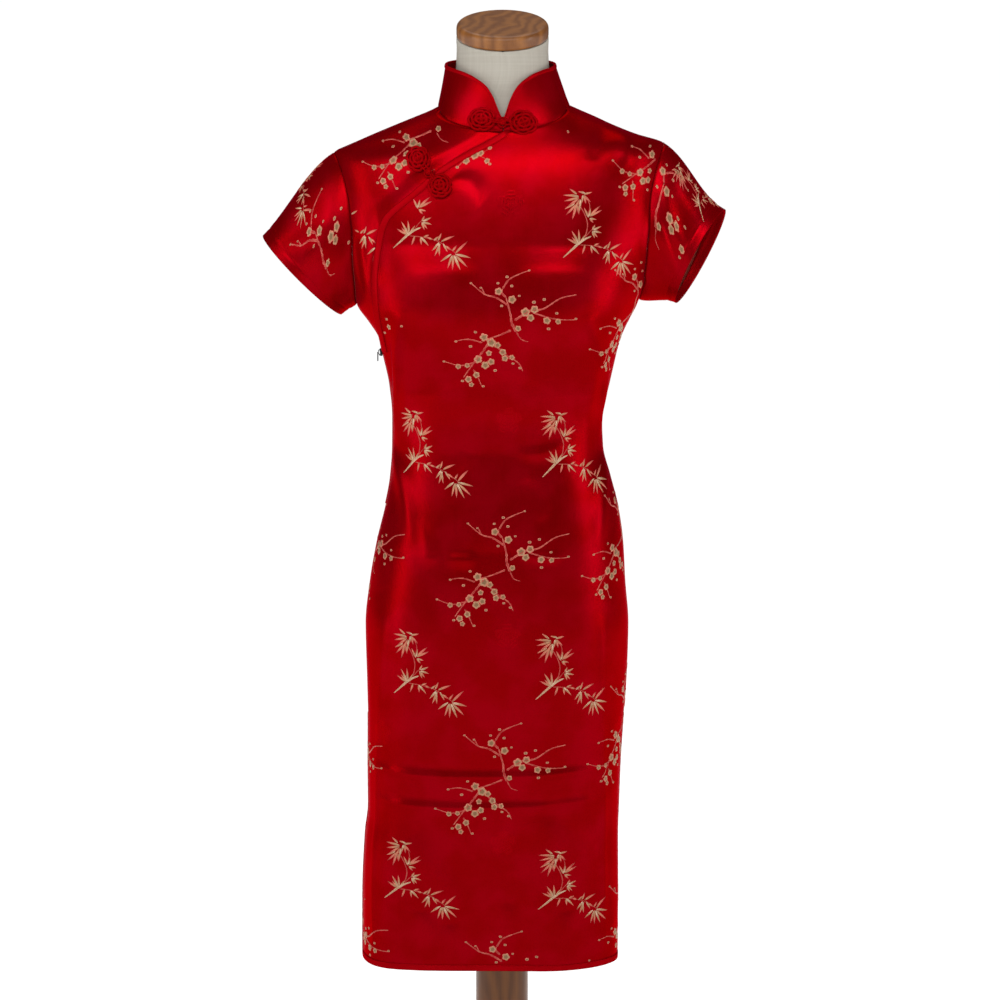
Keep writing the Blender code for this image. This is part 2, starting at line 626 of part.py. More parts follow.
PLACKET_ENDS = (1.2, 1.8)        # its distances below the neckline and above the zip's top
PLACKET_TAPER = (0.97, 0.8)      # past this share of its length it has this share of its width


def make_placket_binding(material):
    """Bound edge on the main front, along the slanted opening."""
    share = np.linspace(0.0, 1.0, 31)
    top, bottom = NECK_FRONT - PLACKET_ENDS[0], ZIP_TOP + PLACKET_ENDS[1]
    z = top + (bottom - top) * share
    x = placket_x(z)
    slope = np.stack([np.gradient(x), np.gradient(z)])
    slope = slope / np.hypot(slope[0], slope[1])
    into = np.stack([-slope[1], slope[0]])
    into[:, 0] = (1.0, 0.0)
    width = BINDING_WIDTH * np.where(share > PLACKET_TAPER[0], PLACKET_TAPER[1], 1.0)
    inner_x, inner_z = x + into[0] * width, z + into[1] * width
    across = np.stack([across_at(-1, x, z), across_at(-1, inner_x, inner_z)])
    heights = np.stack([z, inner_z])
    point = cloth_point(-1, across, heights) + seam_shift(-1)
    raise_strip("placket_binding", point, cloth_normal(-1, across, heights), material)


# Collar

def neck_ring(count):
    """Neckline points from the middle of the front round by the left, and their angles."""
    share = np.linspace(0.0, 1.0, count)
    front_left = cloth_point(-1, *neckline(-1, -1, share))
    back_left = cloth_point(1, *neckline(1, -1, share[::-1][1:]))
    back_right = cloth_point(1, *neckline(1, 1, share[1:]))
    front_right = cloth_point(-1, *neckline(-1, 1, share[::-1][1:]))
    return np.concatenate([front_left, back_left, back_right, front_right])


def collar_place(angle, share):
    """Point of the collar's outer face. angle runs from 0 at the middle of the front round by the
    left to 360 degrees, and share from 0 at the neck seam to 1 at the top edge."""
    angle, share = np.broadcast_arrays(np.asarray(angle, float), np.asarray(share, float))
    ring = neck_ring(17)
    middle = np.array([COLLAR_RING["middle_x"] + COLLAR_RING["base_shift"], COLLAR_RING["middle_y"]])
    turn = np.degrees(np.arctan2(-(ring[:, 0] - middle[0]), -(ring[:, 1] - middle[1]))) % 360
    turn[0], turn[-1] = 0.0, 360.0
    base = np.stack([np.interp(angle, turn, ring[:, part]) for part in range(3)], axis=-1)
    radians = np.radians(angle)
    top_x = COLLAR_RING["middle_x"] - COLLAR_RING["half_width"] * np.sin(radians)
    top_y = COLLAR_RING["middle_y"] - COLLAR_RING["half_depth"] * np.cos(radians)
    top_x = top_x - COLLAR_RING["middle_x"] * np.abs(np.cos(radians)) ** 3
    from_front = np.minimum(angle, 360 - angle)
    top_z = column(COLLAR_TOP, "z", from_front)
    height = (top_z - base[..., 2]) * share
    lean = np.clip(height / COLLAR_HEIGHT, 0.0, 1.1)
    x = base[..., 0] + (top_x - base[..., 0]) * lean
    y = base[..., 1] + (top_y - base[..., 1]) * lean
    return np.stack([x, y, base[..., 2] + COLLAR_SEAM + height], axis=-1)


def collar_normal(angle, share):
    step, rise = 0.5, 0.01
    along = collar_place(angle + step, share) - collar_place(angle - step, share)
    up = collar_place(angle, np.asarray(share) + rise) - collar_place(angle, np.asarray(share) - rise)
    return unit(np.cross(up, along))


def collar_angles():
    end = math.degrees(COLLAR_GAP / COLLAR_RING["half_depth"])
    half = [end, 7.0, 11.0, 16.0, 23.0, 33.0, 45.0, 60.0, 75.0, 90.0, 108.0, 126.0, 144.0, 162.0]
    return np.array(half + [180.0] + [360 - angle for angle in half[::-1]])


def collar_rows():
    """Angles and shares of the collar's grid: its top row of cells is the binding's."""
    angle = collar_angles()
    height = collar_place(angle, 1.0)[:, 2] - collar_place(angle, 0.0)[:, 2]
    edge = 1 - COLLAR_BINDING / height
    share = np.stack([np.zeros(len(angle)), edge * 0.5, edge, np.ones(len(angle))])
    return np.broadcast_to(angle, share.shape), share


def make_collar(material):
    angle, share = collar_rows()
    point, normal = collar_place(angle, share), collar_normal(angle, share)
    wall("collar", point, point - normal * COLLAR_WALL, material)


def make_collar_binding(material):
    angle, share = (grid[2:] for grid in collar_rows())
    raise_strip("collar_binding", collar_place(angle, share), collar_normal(angle, share), material)


# Frogs

PETALS = 8
ROSETTE_RIM, ROSETTE_DOME = 1.4, 2.2   # thickness of a petal knot at its rim, and the dome above that
ROSETTE_MIDDLE = 2.6                   # height of its slightly sunk middle
BUTTON_STEM_END, LOOP_STEM_END = 2.2, 1.8


def rosette(name, place, material):
    """Domed petal knot. place turns offsets in millimetres into points and normals of its panel."""
    around = PETALS * 3
    angle = np.linspace(0, 2 * math.pi, around, endpoint=False)[None, :]
    share = np.array([0.6, 1.0])[:, None]
    outline = ROSETTE * (0.9 + 0.1 * np.abs(np.cos(angle * PETALS / 2)))
    radius = outline * share
    point, normal = place(radius * np.cos(angle), radius * np.sin(angle))
    crown = np.sqrt(np.clip(1 - share ** 2, 0.0, 1.0)) * ROSETTE_DOME + ROSETTE_RIM
    upper = point + normal * (SEAM + crown)[..., None]
    lower = point + normal * SEAM
    middle, middle_normal = place(np.zeros(1), np.zeros(1))
    vertices = np.concatenate([upper.reshape(-1, 3), lower.reshape(-1, 3),
                               middle + middle_normal * (SEAM + ROSETTE_MIDDLE), middle + middle_normal * SEAM])
    count = len(share) * around
    faces = []
    for start in range(around):
        end = (start + 1) % around
        faces.append((2 * count, start, end))
        faces.append((2 * count + 1, count + end, count + start))
        for ring in range(len(share) - 1):
            a, b = ring * around + start, ring * around + end
            c, d = a + around, b + around
            faces.append((a, c, d, b))
            faces.append((count + a, count + b, count + d, count + c))
        rim = (len(share) - 1) * around
        faces.append((rim + start, count + rim + start, count + rim + end, rim + end))
    return finish(name, vertices, faces, material)


def add_union(target, helper):
    """Joins a helper shape into the target and removes the helper."""
    modifier = target.modifiers.new("join", "BOOLEAN")
    modifier.operation = "UNION"
    modifier.object = helper
    bpy.context.view_layer.update()
    evaluated = target.evaluated_get(bpy.context.evaluated_depsgraph_get())
    joined = bpy.data.meshes.new_from_object(evaluated)
    target.modifiers.clear()
    target.data = joined
    bpy.data.objects.remove(helper)


def helper_object(name, body):
    mesh = bpy.data.meshes.new(name)
    body.to_mesh(mesh)
    body.free()
    added = bpy.data.objects.new(name, mesh)
    added.hide_render = True
    added.display_type = "WIRE"
    cutters.objects.link(added)
    return added


def local_frame(origin, towards, normal):
    """Matrix whose X axis points towards and whose Z axis is the panel's normal, in metres."""
    normal = Vector(normal).normalized()
    towards = Vector(towards)
    x_axis = (towards - normal * towards.dot(normal)).normalized()
    y_axis = normal.cross(x_axis)
    frame = Matrix((x_axis, y_axis, normal)).transposed().to_4x4()
    frame.translation = Vector(origin) * MM
    return frame


def rod(start, end, radius, name):
    """Straight round cord between two points in millimetres."""
    start, end = Vector(start), Vector(end)
    along = end - start
    body = bmesh.new()
    turn = along.to_track_quat("Z", "Y").to_matrix().to_4x4()
    place = Matrix.Translation((start + end) / 2 * MM) @ turn
    bmesh.ops.create_cone(body, cap_ends=True, segments=8, radius1=radius * MM, radius2=radius * MM,
                          depth=along.length * MM, matrix=place)
    return helper_object(name, body)


def on_frame(frame, x, z):
    """Point at x along the frame and z above its panel, in millimetres."""
    return (frame @ Vector((x * MM, 0.0, z * MM))) / MM


LOOP_HEIGHT = 1.4      # middle of the cord loop above its panel


def knob(frame, target):
    """Ball knot at the frame's origin, with a stem over the loop and down into its own rosette."""
    height = SEAM + KNOB + 0.3
    body = bmesh.new()
    place = frame @ Matrix.Translation((0.0, 0.0, height * MM))
    bmesh.ops.create_uvsphere(body, u_segments=10, v_segments=7, radius=KNOB * MM, matrix=place)
    ball = helper_object("knob_ball", body)
    clear = KNOB + 2 * CORD + 2.0
    bend = on_frame(frame, -clear, height)
    over = rod(on_frame(frame, 0.0, height + 0.1), bend, CORD, "knob_stem_over")
    down = rod(on_frame(frame, 0.6 - clear, height + 0.05), target, CORD, "knob_stem_down")
    return ball, over, down


def loop_ring(frame):
    """Closed cord loop round the ball knot, as a ring of round section."""
    ring, around, sides = KNOB + SEAM + CORD, 14, 6
    turn, roll = np.meshgrid(np.linspace(0, 2 * math.pi, around, endpoint=False),
                             np.linspace(0, 2 * math.pi, sides, endpoint=False), indexing="ij")
    reach = ring + CORD * np.cos(roll)
    grid = np.stack([reach * np.cos(turn), reach * np.sin(turn), CORD * np.sin(roll) + LOOP_HEIGHT], axis=-1)
    body = bmesh.new()
    vertices = [body.verts.new(frame @ Vector(point * MM)) for point in grid.reshape(-1, 3)]
    for start in range(around):
        for side in range(sides):
            a = start * sides + side
            b = start * sides + (side + 1) % sides
            c = (start + 1) % around * sides + (side + 1) % sides
            d = (start + 1) % around * sides + side
            body.faces.new([vertices[index] for index in (a, d, c, b)])
    bmesh.ops.recalc_face_normals(body, faces=body.faces)
    return helper_object("loop_ring", body)


def make_frog(label, button_place, loop_place, middle_frame, material):
    """One closure: the button half with its ball knot, and the loop half with the loop round it."""
    centre = np.zeros(1)
    button_point, button_normal = button_place(centre, centre)
    loop_point, loop_normal = loop_place(centre, centre)
    button = rosette(f"frog_{label}_button", button_place, material)
    for piece in knob(middle_frame, button_point[0] + button_normal[0] * BUTTON_STEM_END):
        add_union(button, piece)
    loop = rosette(f"frog_{label}_loop", loop_place, material)
    add_union(loop, loop_ring(middle_frame))
    foot = on_frame(middle_frame, KNOB + SEAM + CORD + 0.5, LOOP_HEIGHT)
    add_union(loop, rod(foot, loop_point[0] + loop_normal[0] * LOOP_STEM_END, CORD * 0.9, "loop_stem"))


def front_spot(x, z, lift, turn=0.0):
    """Place function for a frog on the front: offsets are turned, then added to x and height."""
    def place(across_mm, up_mm):
        along = np.asarray(across_mm, float) * math.cos(turn) - np.asarray(up_mm, float) * math.sin(turn)
        up = np.asarray(across_mm, float) * math.sin(turn) + np.asarray(up_mm, float) * math.cos(turn)
        heights = z + up
        across = across_at(-1, x + along, heights)
        normal = cloth_normal(-1, across, heights)
        return cloth_point(-1, across, heights) + seam_shift(-1) + normal * lift, normal
    return place


def collar_spot(angle, z):
    """Place function for a frog on the collar, at an angle and a height above the floor."""
    def place(across_mm, up_mm):
        turned = (angle - np.degrees(np.asarray(across_mm, float) / COLLAR_RING["half_depth"])) % 360
        base, top = collar_place(turned, 0.0), collar_place(turned, 1.0)
        share = (z + np.asarray(up_mm, float) - base[..., 2]) / (top[..., 2] - base[..., 2])
        return collar_place(turned, share), collar_normal(turned, np.full(turned.shape, 0.5))
    return place


ChestFrog = namedtuple("ChestFrog", "button_x button_z loop_x loop_z lift loop_lift")
CHEST_FROG = ChestFrog(-69.8, 1317.6, -94.2, 1346.4, 1.7, 0.2)
CollarFrog = namedtuple("CollarFrog", "half_angle z lift")
COLLAR_FROG = CollarFrog(19.5, 1396.0, 0.2)


def make_frogs(material):
    chest = CHEST_FROG
    middle_x, middle_z = (chest.button_x + chest.loop_x) / 2, (chest.button_z + chest.loop_z) / 2
    spot = front_spot(middle_x, middle_z, chest.lift)
    origin, normal = spot(np.zeros(1), np.zeros(1))
    towards = Vector((chest.loop_x - chest.button_x, 0.0, chest.loop_z - chest.button_z))
    frame = local_frame(origin[0], towards, normal[0])
    make_frog("chest", front_spot(chest.button_x, chest.button_z, chest.lift),
              front_spot(chest.loop_x, chest.loop_z, chest.loop_lift), frame, material)
    collar = COLLAR_FROG
    raised = {}
    for hand in (-1, 1):
        angle = collar.half_angle if hand < 0 else 360 - collar.half_angle
        raised[hand] = lifted(collar_spot(angle, collar.z), collar.lift)
    ends = np.array([4.0, 356.0])
    normal = unit(collar_normal(ends, 0.5).sum(axis=0))
    origin = collar_place(ends, 0.9).mean(axis=0) + normal * (TRIM_GAP + BINDING_RISE)
    frame = local_frame(origin, Vector((1.0, 0.0, 0.0)), normal)
    make_frog("collar", raised[-1], raised[1], frame, material)


def lifted(place, lift):
    def raised(across_mm, up_mm):
        point, normal = place(across_mm, up_mm)
        return point + normal * lift, normal
    return raised


# Side zip

Block = namedtuple("Block", "thick wide tall")
ZIP_SLIDER, ZIP_TAB = Block(3.0, 5.0, 9.0), Block(1.2, 3.6, 11.0)
TAB_GAP, TAB_ABOVE = 0.7, 1.0      # gap behind the pull tab, and how far it reaches above its hinge


def make_zip(tape_material, metal):
    """Covered zip along the left side seam, with its slider at the top and a hanging pull tab."""
    z = np.array([row for row in SKIRT_ROWS if ZIP_BOTTOM <= row < ZIP_TOP])
    half = 3.0
    front_side = bare_point(-1, -1 + half / seam_length(-1, z), z)
    back_side = bare_point(1, -1 + half / seam_length(1, z), z)
    middle = bare_point(-1, np.full(len(z), -1.0), z)
    point = np.stack([back_side, middle, front_side])
    normal = np.stack([bare_normal(1, -1 + half / seam_length(1, z), z),
                       bare_normal(-1, np.full(len(z), -1.0), z),
                       bare_normal(-1, -1 + half / seam_length(-1, z), z)])
    raise_strip("zip_tape", point, normal, tape_material)
    seam = bare_point(-1, np.array([-1.0]), np.array([ZIP_TOP + 3.0]))[0]
    slider = ZIP_SLIDER
    slider_x, slider_z = seam[0] - slider.thick / 2 - TRIM_GAP, ZIP_TOP - 2.0
    box_part("zip_slider", (slider_x, 0.0, slider_z), slider, 0.8, metal)
    tab = ZIP_TAB
    pull_x = slider_x - slider.thick / 2 - TAB_GAP - tab.thick / 2
    hinge = (pull_x, 0.0, slider_z - 1.0)
    box_part("zip_pull", hinge, tab, 0.4, metal, (0.0, 0.0, TAB_ABOVE - tab.tall / 2))


def box_part(name, middle, size, round_edge, material, offset=(0.0, 0.0, 0.0)):
    """Rounded box whose object origin is at middle; offset moves the box away from that origin."""
    body = bmesh.new()
    bmesh.ops.create_cube(body, size=1.0)
    bmesh.ops.scale(body, vec=Vector(size) * MM, verts=body.verts)
    bmesh.ops.translate(body, vec=Vector(offset) * MM, verts=body.verts)
    mesh = bpy.data.meshes.new(name)
    body.to_mesh(mesh)
    body.free()
    mesh.materials.append(material)
    added = bpy.data.objects.new(name, mesh)
    added.location = Vector(middle) * MM
    bevel = added.modifiers.new("round", "BEVEL")
    bevel.width = round_edge * MM
    bevel.segments = 2
    parts.objects.link(added)


# Form and stand

FORM_ROWS = [FORM_BOTTOM, FORM_BOTTOM + 6.0, 720.0, 800.0, 850.0, 898.0, 940.0, 985.0, 1030.0, 1075.0,
             1111.0, 1145.0, 1178.0, 1225.0, 1280.0, 1325.0, 1344.0, 1352.0, 1358.0,
             1364.0, 1374.0, 1387.0, 1397.0, 1405.0, 1412.0, 1424.0, 1440.0, 1464.0]


def make_form(material):
    """Limbless torso: the worn body moved inwards, closed at the hips and at the tilted neck."""
    half = np.array([0.0, 0.025, 0.06, 0.11, 0.18, 0.27, 0.38])
    columns = np.concatenate([half, [0.5], 1 - half[:0:-1]]) * 2 - 1
    rows = np.array(FORM_ROWS)
    z = np.repeat(rows[:, None], len(columns), axis=1)
    heights = [row.z for row in CLEARANCES]
    broad = np.interp(z, heights, [row.broad for row in CLEARANCES])
    seam = np.interp(z, heights, [row.seam for row in CLEARANCES])
    gap = broad + (seam - broad) * smoothstep(0.8, 0.97, np.abs(columns))[None, :]
    front = bare_point(-1, columns[None, :], z) - bare_normal(-1, columns[None, :], z) * gap[..., None]
    back = bare_point(1, -columns[None, :], z) - bare_normal(1, -columns[None, :], z) * gap[..., None]
    ring = np.concatenate([front, back], axis=1)
    shrink = np.interp(rows, [FORM_BOTTOM, FORM_BOTTOM + 6.0], [0.94, 1.0])[:, None]
    ring[..., 0] *= shrink
    ring[..., 1] *= shrink
    ring[:2, :, 2] = rows[:2, None]
    tilt = smoothstep(1408.0, 1464.0, rows)[:, None]
    top = CAP_MIDDLE - SEAM + ring[..., 1] * math.tan(NECK_TILT)
    ring[..., 2] += (top - ring[..., 2]) * tilt * (rows[:, None] > 1408.0)
    count = ring.shape[1]
    faces = [tuple(range(count)), tuple(range((len(rows) - 1) * count, len(rows) * count))[::-1]]
    for row in range(len(rows) - 1):
        for start in range(count):
            end = (start + 1) % count
            a, b = row * count + start, row * count + end
            faces.append((a, b, b + count, a + count))
    finish("form_torso", ring.reshape(-1, 3), faces, material)


def make_cap(material):
    body = bmesh.new()
    bmesh.ops.create_cone(body, cap_ends=True, segments=32, radius1=CAP_RADIUS * MM, radius2=CAP_RADIUS * MM,
                          depth=CAP_THICK * MM)
    mesh = bpy.data.meshes.new("neck_cap")
    body.to_mesh(mesh)
    body.free()
    mesh.materials.append(material)
    cap = bpy.data.objects.new("neck_cap", mesh)
    along = Vector((0.0, -math.sin(NECK_TILT), math.cos(NECK_TILT)))
    cap.location = Vector((0.5, 0.0, CAP_MIDDLE)) * MM + along * (CAP_THICK / 2) * MM
    cap.rotation_euler = (NECK_TILT, 0.0, 0.0)
    bevel = cap.modifiers.new("round", "BEVEL")
    bevel.width = 3.5 * MM
    bevel.segments = 2
    bevel.limit_method = "ANGLE"
    parts.objects.link(cap)


def turned(name, profile, steps, material):
    """Turned piece: a profile from the axis at the top to the axis at the bottom, spun by a Screw."""
    radii = [0.0] + [row.radius for row in profile] + [0.0]
    heights = [profile[0].z] + [row.z for row in profile] + [profile[-1].z]
    mesh = bpy.data.meshes.new(name)
    points = [(radius * MM, 0.0, z * MM) for radius, z in zip(radii, heights)]
    mesh.from_pydata(points, [(index, index + 1) for index in range(len(points) - 1)], [])
    mesh.materials.append(material)
    added = bpy.data.objects.new(name, mesh)
    screw = added.modifiers.new("turn", "SCREW")
    screw.steps = steps
    screw.render_steps = steps
    screw.use_merge_vertices = True
    screw.merge_threshold = 1e-5
    screw.use_smooth_shade = True
    parts.objects.link(added)
    return added


def make_material(name, colour, roughness, metallic=0.0):
    material = bpy.data.materials.new(name)
    material.use_nodes = True
    shader = material.node_tree.nodes["Principled BSDF"]
    shader.inputs["Base Color"].default_value = colour
    shader.inputs["Roughness"].default_value = roughness
    shader.inputs["Metallic"].default_value = metallic
    material.diffuse_color = colour
    return material


def add_collection(name):
    added = bpy.data.collections.new(name)
    bpy.context.scene.collection.children.link(added)
    return added


for existing in list(bpy.data.objects):
    bpy.data.objects.remove(existing)

parts = add_collection("cheongsam dress")
cutters = add_collection("cutters")

satin = make_material("satin", SATIN_RED, 0.38)
trim = make_material("trim satin", TRIM_RED, 0.35)
linen = make_material("linen", LINEN, 0.85)
cap_wood = make_material("cap wood", CAP_WOOD, 0.45)
stand_wood = make_material("stand wood", STAND_WOOD, 0.4)
dark_metal = make_material("dark metal", DARK_METAL, 0.4, 0.9)

make_front(satin)
make_under_front(satin)
make_back(satin)
for hand, word in ((-1, "left"), (1, "right")):
    make_sleeve(f"sleeve_{word}", hand, satin)
    make_sleeve_band(f"sleeve_hem_{word}", hand, satin)
make_collar(satin)
make_collar_binding(trim)
make_placket_binding(trim)
make_hem_bindings(trim)
make_frogs(trim)
make_zip(satin, dark_metal)
make_form(linen)
make_cap(cap_wood)
turned("stand_column", COLUMN_PROFILE, 20, stand_wood)
turned("stand_base", BASE_PROFILE, 36, stand_wood)
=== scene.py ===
# Looks of the cheongsam on its dress form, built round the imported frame. Tables and surfaces are in
# millimetres and turn into metres in addMesh. Left and right are the viewer's, and the front faces -Y.

import math

import bmesh
import bpy
import numpy as np
from mathutils import Matrix, Vector


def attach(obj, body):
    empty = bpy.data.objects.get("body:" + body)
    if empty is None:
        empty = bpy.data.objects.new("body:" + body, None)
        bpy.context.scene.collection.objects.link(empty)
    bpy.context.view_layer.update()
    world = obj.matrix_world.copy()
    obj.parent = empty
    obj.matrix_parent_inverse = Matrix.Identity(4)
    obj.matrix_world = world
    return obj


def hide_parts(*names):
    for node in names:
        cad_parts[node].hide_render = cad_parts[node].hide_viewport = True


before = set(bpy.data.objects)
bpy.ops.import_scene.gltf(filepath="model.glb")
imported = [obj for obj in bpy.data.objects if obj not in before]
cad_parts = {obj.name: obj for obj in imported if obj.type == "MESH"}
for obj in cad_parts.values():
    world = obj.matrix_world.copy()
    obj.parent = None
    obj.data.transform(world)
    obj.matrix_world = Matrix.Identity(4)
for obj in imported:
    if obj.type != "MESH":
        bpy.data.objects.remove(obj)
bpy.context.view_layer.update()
toMetres = 0.001
left, right, front, back = -1, 1, -1, 1

print("tables of the worn body")

cloth = {
    "wall": 1.0,
    "seamTuck": 0.7,          # the sleeves' seam allowance lies this far under the body's edge
    "seamDip": 0.5,           # how far the cloth rolls in along a seam
    "seamRoll": 1.7,          # width of that roll
    "creasing": 1.6,          # the table's rises are multiplied by this
    "hem": 396.0,
    "hemLift": 9.0,           # rise of the front hem's middle
    "zipTop": 1123.0,
    "zipBottom": 942.0,
    "topBend": 1290.0,        # above it the rows bend into the neckline
    "underlap": 14.0,         # how far the under front reaches past the opening
}
# z, reach to the left, right, front and back, squareness
bodySections = np.array([
    (380, 167.5, 137.5, 110, 116, 3.3), (470, 167, 138.8, 110, 116, 3.2), (545, 163.6, 138.3, 110, 116, 3),
    (580, 159.7, 139.3, 110, 117, 2.9), (630, 160, 141, 110, 118, 2.8), (680, 159.5, 144, 110, 119, 2.7),
    (728, 160.3, 147.8, 110, 120, 2.6), (800, 161.8, 149.9, 109, 120, 2.5), (850, 156.5, 146, 107, 116, 2.4),
    (898, 147.9, 143.1, 103, 106, 2.35), (940, 137.5, 137, 98, 94, 2.3), (975, 131, 128, 92, 82, 2.3),
    (1011, 128.3, 118.8, 88, 75, 2.3), (1046, 128, 117.4, 88, 74, 2.3), (1082, 131, 125.2, 93, 78, 2.3),
    (1111, 137, 131.5, 100, 84, 2.3), (1135, 143.2, 137, 105, 89, 2.35), (1158, 156.5, 146.5, 108, 93, 2.4),
    (1178, 169, 157, 109, 96, 2.4), (1205, 173.5, 165, 107, 99, 2.4), (1250, 181.5, 175, 101, 101, 2.4),
    (1290, 188, 182.5, 94, 100, 2.4), (1330, 192, 187, 85, 95, 2.35), (1346, 193.5, 188.2, 80, 91, 2.3),
    (1353, 194, 188.6, 77, 88, 2.3), (1360, 181, 188.8, 74, 86, 2.25), (1364, 171.5, 186.5, 72, 85, 2.2),
    (1374, 148.5, 155, 67, 81, 2.15), (1387, 117, 122.5, 62, 76, 2.1), (1394, 99.5, 107.5, 60, 73, 2.1),
    (1401, 82.5, 91, 58, 69, 2.05), (1405, 74.5, 82, 57, 66, 2), (1408, 71, 75.5, 56, 63, 2),
    (1418, 62, 63.5, 53, 57, 2), (1432, 55, 56, 51, 53, 2), (1450, 52.6, 53.6, 50, 51, 2),
    (1520, 52, 53, 49, 50, 2),
], float)
# side, place across, lowest and highest height, lean, width, rise: the broad soft folds of the solids
broadFolds = [
    (front, -0.42, 1080, 1250, 0.0, 0.2, 8), (front, 0.42, 1080, 1250, 0.0, 0.2, 8),
    (front, -0.66, 1010, 1165, 0.05, 0.06, 3), (front, 0.64, 1000, 1165, -0.05, 0.06, 3.2),
    (front, -0.8, 1190, 1300, 0.05, 0.05, 2.6), (front, 0.78, 1190, 1305, -0.05, 0.05, 2.6),
    (front, -0.52, 400, 690, 0.1, 0.09, 3.2), (front, 0.3, 400, 640, -0.06, 0.1, 2.6),
    (front, 0.74, 420, 720, -0.05, 0.07, 2.4), (front, -0.1, 900, 1010, 0.0, 0.16, 2.2),
    (back, -0.4, 1000, 1170, 0.04, 0.07, 3), (back, 0.4, 1000, 1170, -0.04, 0.07, 3),
    (back, -0.45, 400, 700, 0.08, 0.1, 3.4), (back, 0.2, 400, 660, 0.04, 0.1, 3),
    (back, 0.66, 410, 700, -0.06, 0.08, 3), (back, -0.74, 1200, 1310, 0.04, 0.06, 2.6),
    (back, 0.74, 1200, 1310, -0.04, 0.06, 2.6),
]
# side, start (mm across, height), end, sideways bow, width on the left of its way and on the right, rise.
# A negative rise is a trough. The places were read off the photograph's own creases at the front.
creases = [
    (front, (-108, 1178), (-138, 1020), -7, 5, 9, 2.3), (front, (100, 1172), (148, 1030), 9, 9, 5, 2.4),
    (front, (-122, 1172), (-150, 1085), -4, 8, 8, -1.9), (front, (112, 1168), (136, 1085), 4, 8, 8, -1.9),
    (front, (-84, 1070), (74, 1072), 26, 5, 12, 1.1), (front, (22, 1014), (80, 1024), -5, 3.5, 6, 0.8),
    (front, (28, 984), (50, 937), 4, 6, 10, 0.9), (front, (-30, 1006), (-66, 958), 5, 8, 10, 0.9),
    (front, (-150, 1010), (-108, 905), 8, 7, 10, 1.8), (front, (150, 1000), (122, 900), -8, 8, 8, 1.5),
    (front, (-62, 893), (-26, 893), 0, 4, 6, 1), (front, (-132, 889), (-66, 893), 2, 2.4, 3.2, 0.5),
    (front, (24, 900), (74, 895), -2, 2.6, 4.5, 0.8), (front, (-96, 935), (-82, 880), 4, 6, 6, 0.9),
    (front, (-170, 641), (154, 645), -5, 1.8, 3.4, 0.85), (front, (-168, 652), (152, 656), -5, 4, 4, -0.5),
    (front, (-168, 604), (152, 608), -5, 1.8, 3.6, 0.75), (front, (-166, 615), (150, 619), -5, 4, 4, -0.5),
    (front, (-139, 818), (-151, 700), 0, 4, 6, 0.9), (front, (-151, 720), (-142, 400), -3, 2.4, 3.6, 1),
    (front, (129, 820), (130, 700), 0, 6, 4, 0.9), (front, (129, 730), (141, 400), 3, 3.6, 2.4, 1),
    (front, (36, 612), (134, 541), 8, 10, 14, -1.3), (front, (-96, 560), (-20, 470), -8, 14, 16, 1.2),
    (front, (-80, 470), (-66, 398), 4, 9, 12, 1.6), (front, (-44, 455), (-38, 398), -3, 8, 9, 1.3),
    (front, (20, 480), (26, 398), 3, 10, 9, 1.4), (front, (92, 470), (98, 398), -4, 9, 12, 1.4),
    (front, (-52, 1327), (-20, 1300), 9, 7, 6, -1.2), (front, (-140, 1300), (-143, 1200), 0, 4, 5, 0.8),
    (front, (-164, 1268), (-160, 1190), -3, 4, 5, 1), (front, (-182, 1262), (-176, 1196), -3, 4, 4, 0.8),
    (front, (184, 1290), (206, 1200), -7, 6, 5, 2), (front, (166, 1186), (204, 1224), -5, 4, 6, 1.3),
    (front, (172, 1174), (200, 1196), -3, 3, 4, 0.8), (front, (112, 1384), (106, 1345), 3, 7, 9, -1.1),
    (front, (132, 1382), (148, 1338), 4, 6, 9, 1.1), (front, (-120, 1372), (-96, 1330), -4, 9, 9, 0.8),
    (front, (-110, 1216), (-20, 1218), 3, 6, 14, 0.7), (front, (20, 1218), (120, 1214), 3, 6, 14, 0.7),
    (back, (-118, 1168), (-84, 1040), 6, 7, 7, 1.6), (back, (116, 1166), (82, 1042), -6, 7, 7, 1.6),
    (back, (-90, 1060), (70, 1056), 18, 6, 12, 1.5), (back, (-60, 1034), (88, 1038), 14, 5, 10, 1.1),
    (back, (-84, 1008), (40, 1006), 10, 5, 9, 0.9), (back, (-130, 1010), (-80, 930), -8, 7, 9, 1.3),
    (back, (124, 1012), (78, 934), 8, 7, 9, 1.3), (back, (-172, 640), (158, 644), 4, 2, 3.4, 0.8),
    (back, (-170, 604), (156, 607), 4, 2, 3.4, 0.7), (back, (-146, 720), (-150, 400), 3, 3, 3, 0.9),
    (back, (140, 720), (150, 400), -3, 3, 3, 0.9), (back, (-40, 520), (-30, 398), 4, 12, 12, 1.5),
    (back, (60, 500), (70, 398), -4, 12, 10, 1.4), (back, (-176, 1290), (-196, 1205), 6, 5, 5, 1.4),
    (back, (176, 1292), (198, 1208), -6, 5, 5, 1.4), (back, (-60, 1330), (66, 1326), -10, 10, 14, 0.8),
]
placketLine = np.array([
    (3, 1378.5), (-16, 1367.6), (-36.4, 1357.2), (-56.7, 1345.6), (-75.9, 1332.4), (-92.9, 1317.5),
    (-109.9, 1303.2), (-123.6, 1292.4), (-134.1, 1281), (-139.9, 1265), (-143.6, 1239), (-145.6, 1209.6),
    (-143.8, 1174), (-140.5, 1145), (-139, 1123),
])[::-1]
slits = {left: (655, 24, 3), right: (688, 12, 42)}          # top, front gap, back gap
armHeights = {left: (1178, 1353, 1405), right: (1183, 1364, 1408)}   # underarm, tip, neck point
armDepth = {front: 50.0, back: 44.0}
neckEdge = {"half": 73.0, "middle": 1.5, front: 1378.5, back: 1413.0}


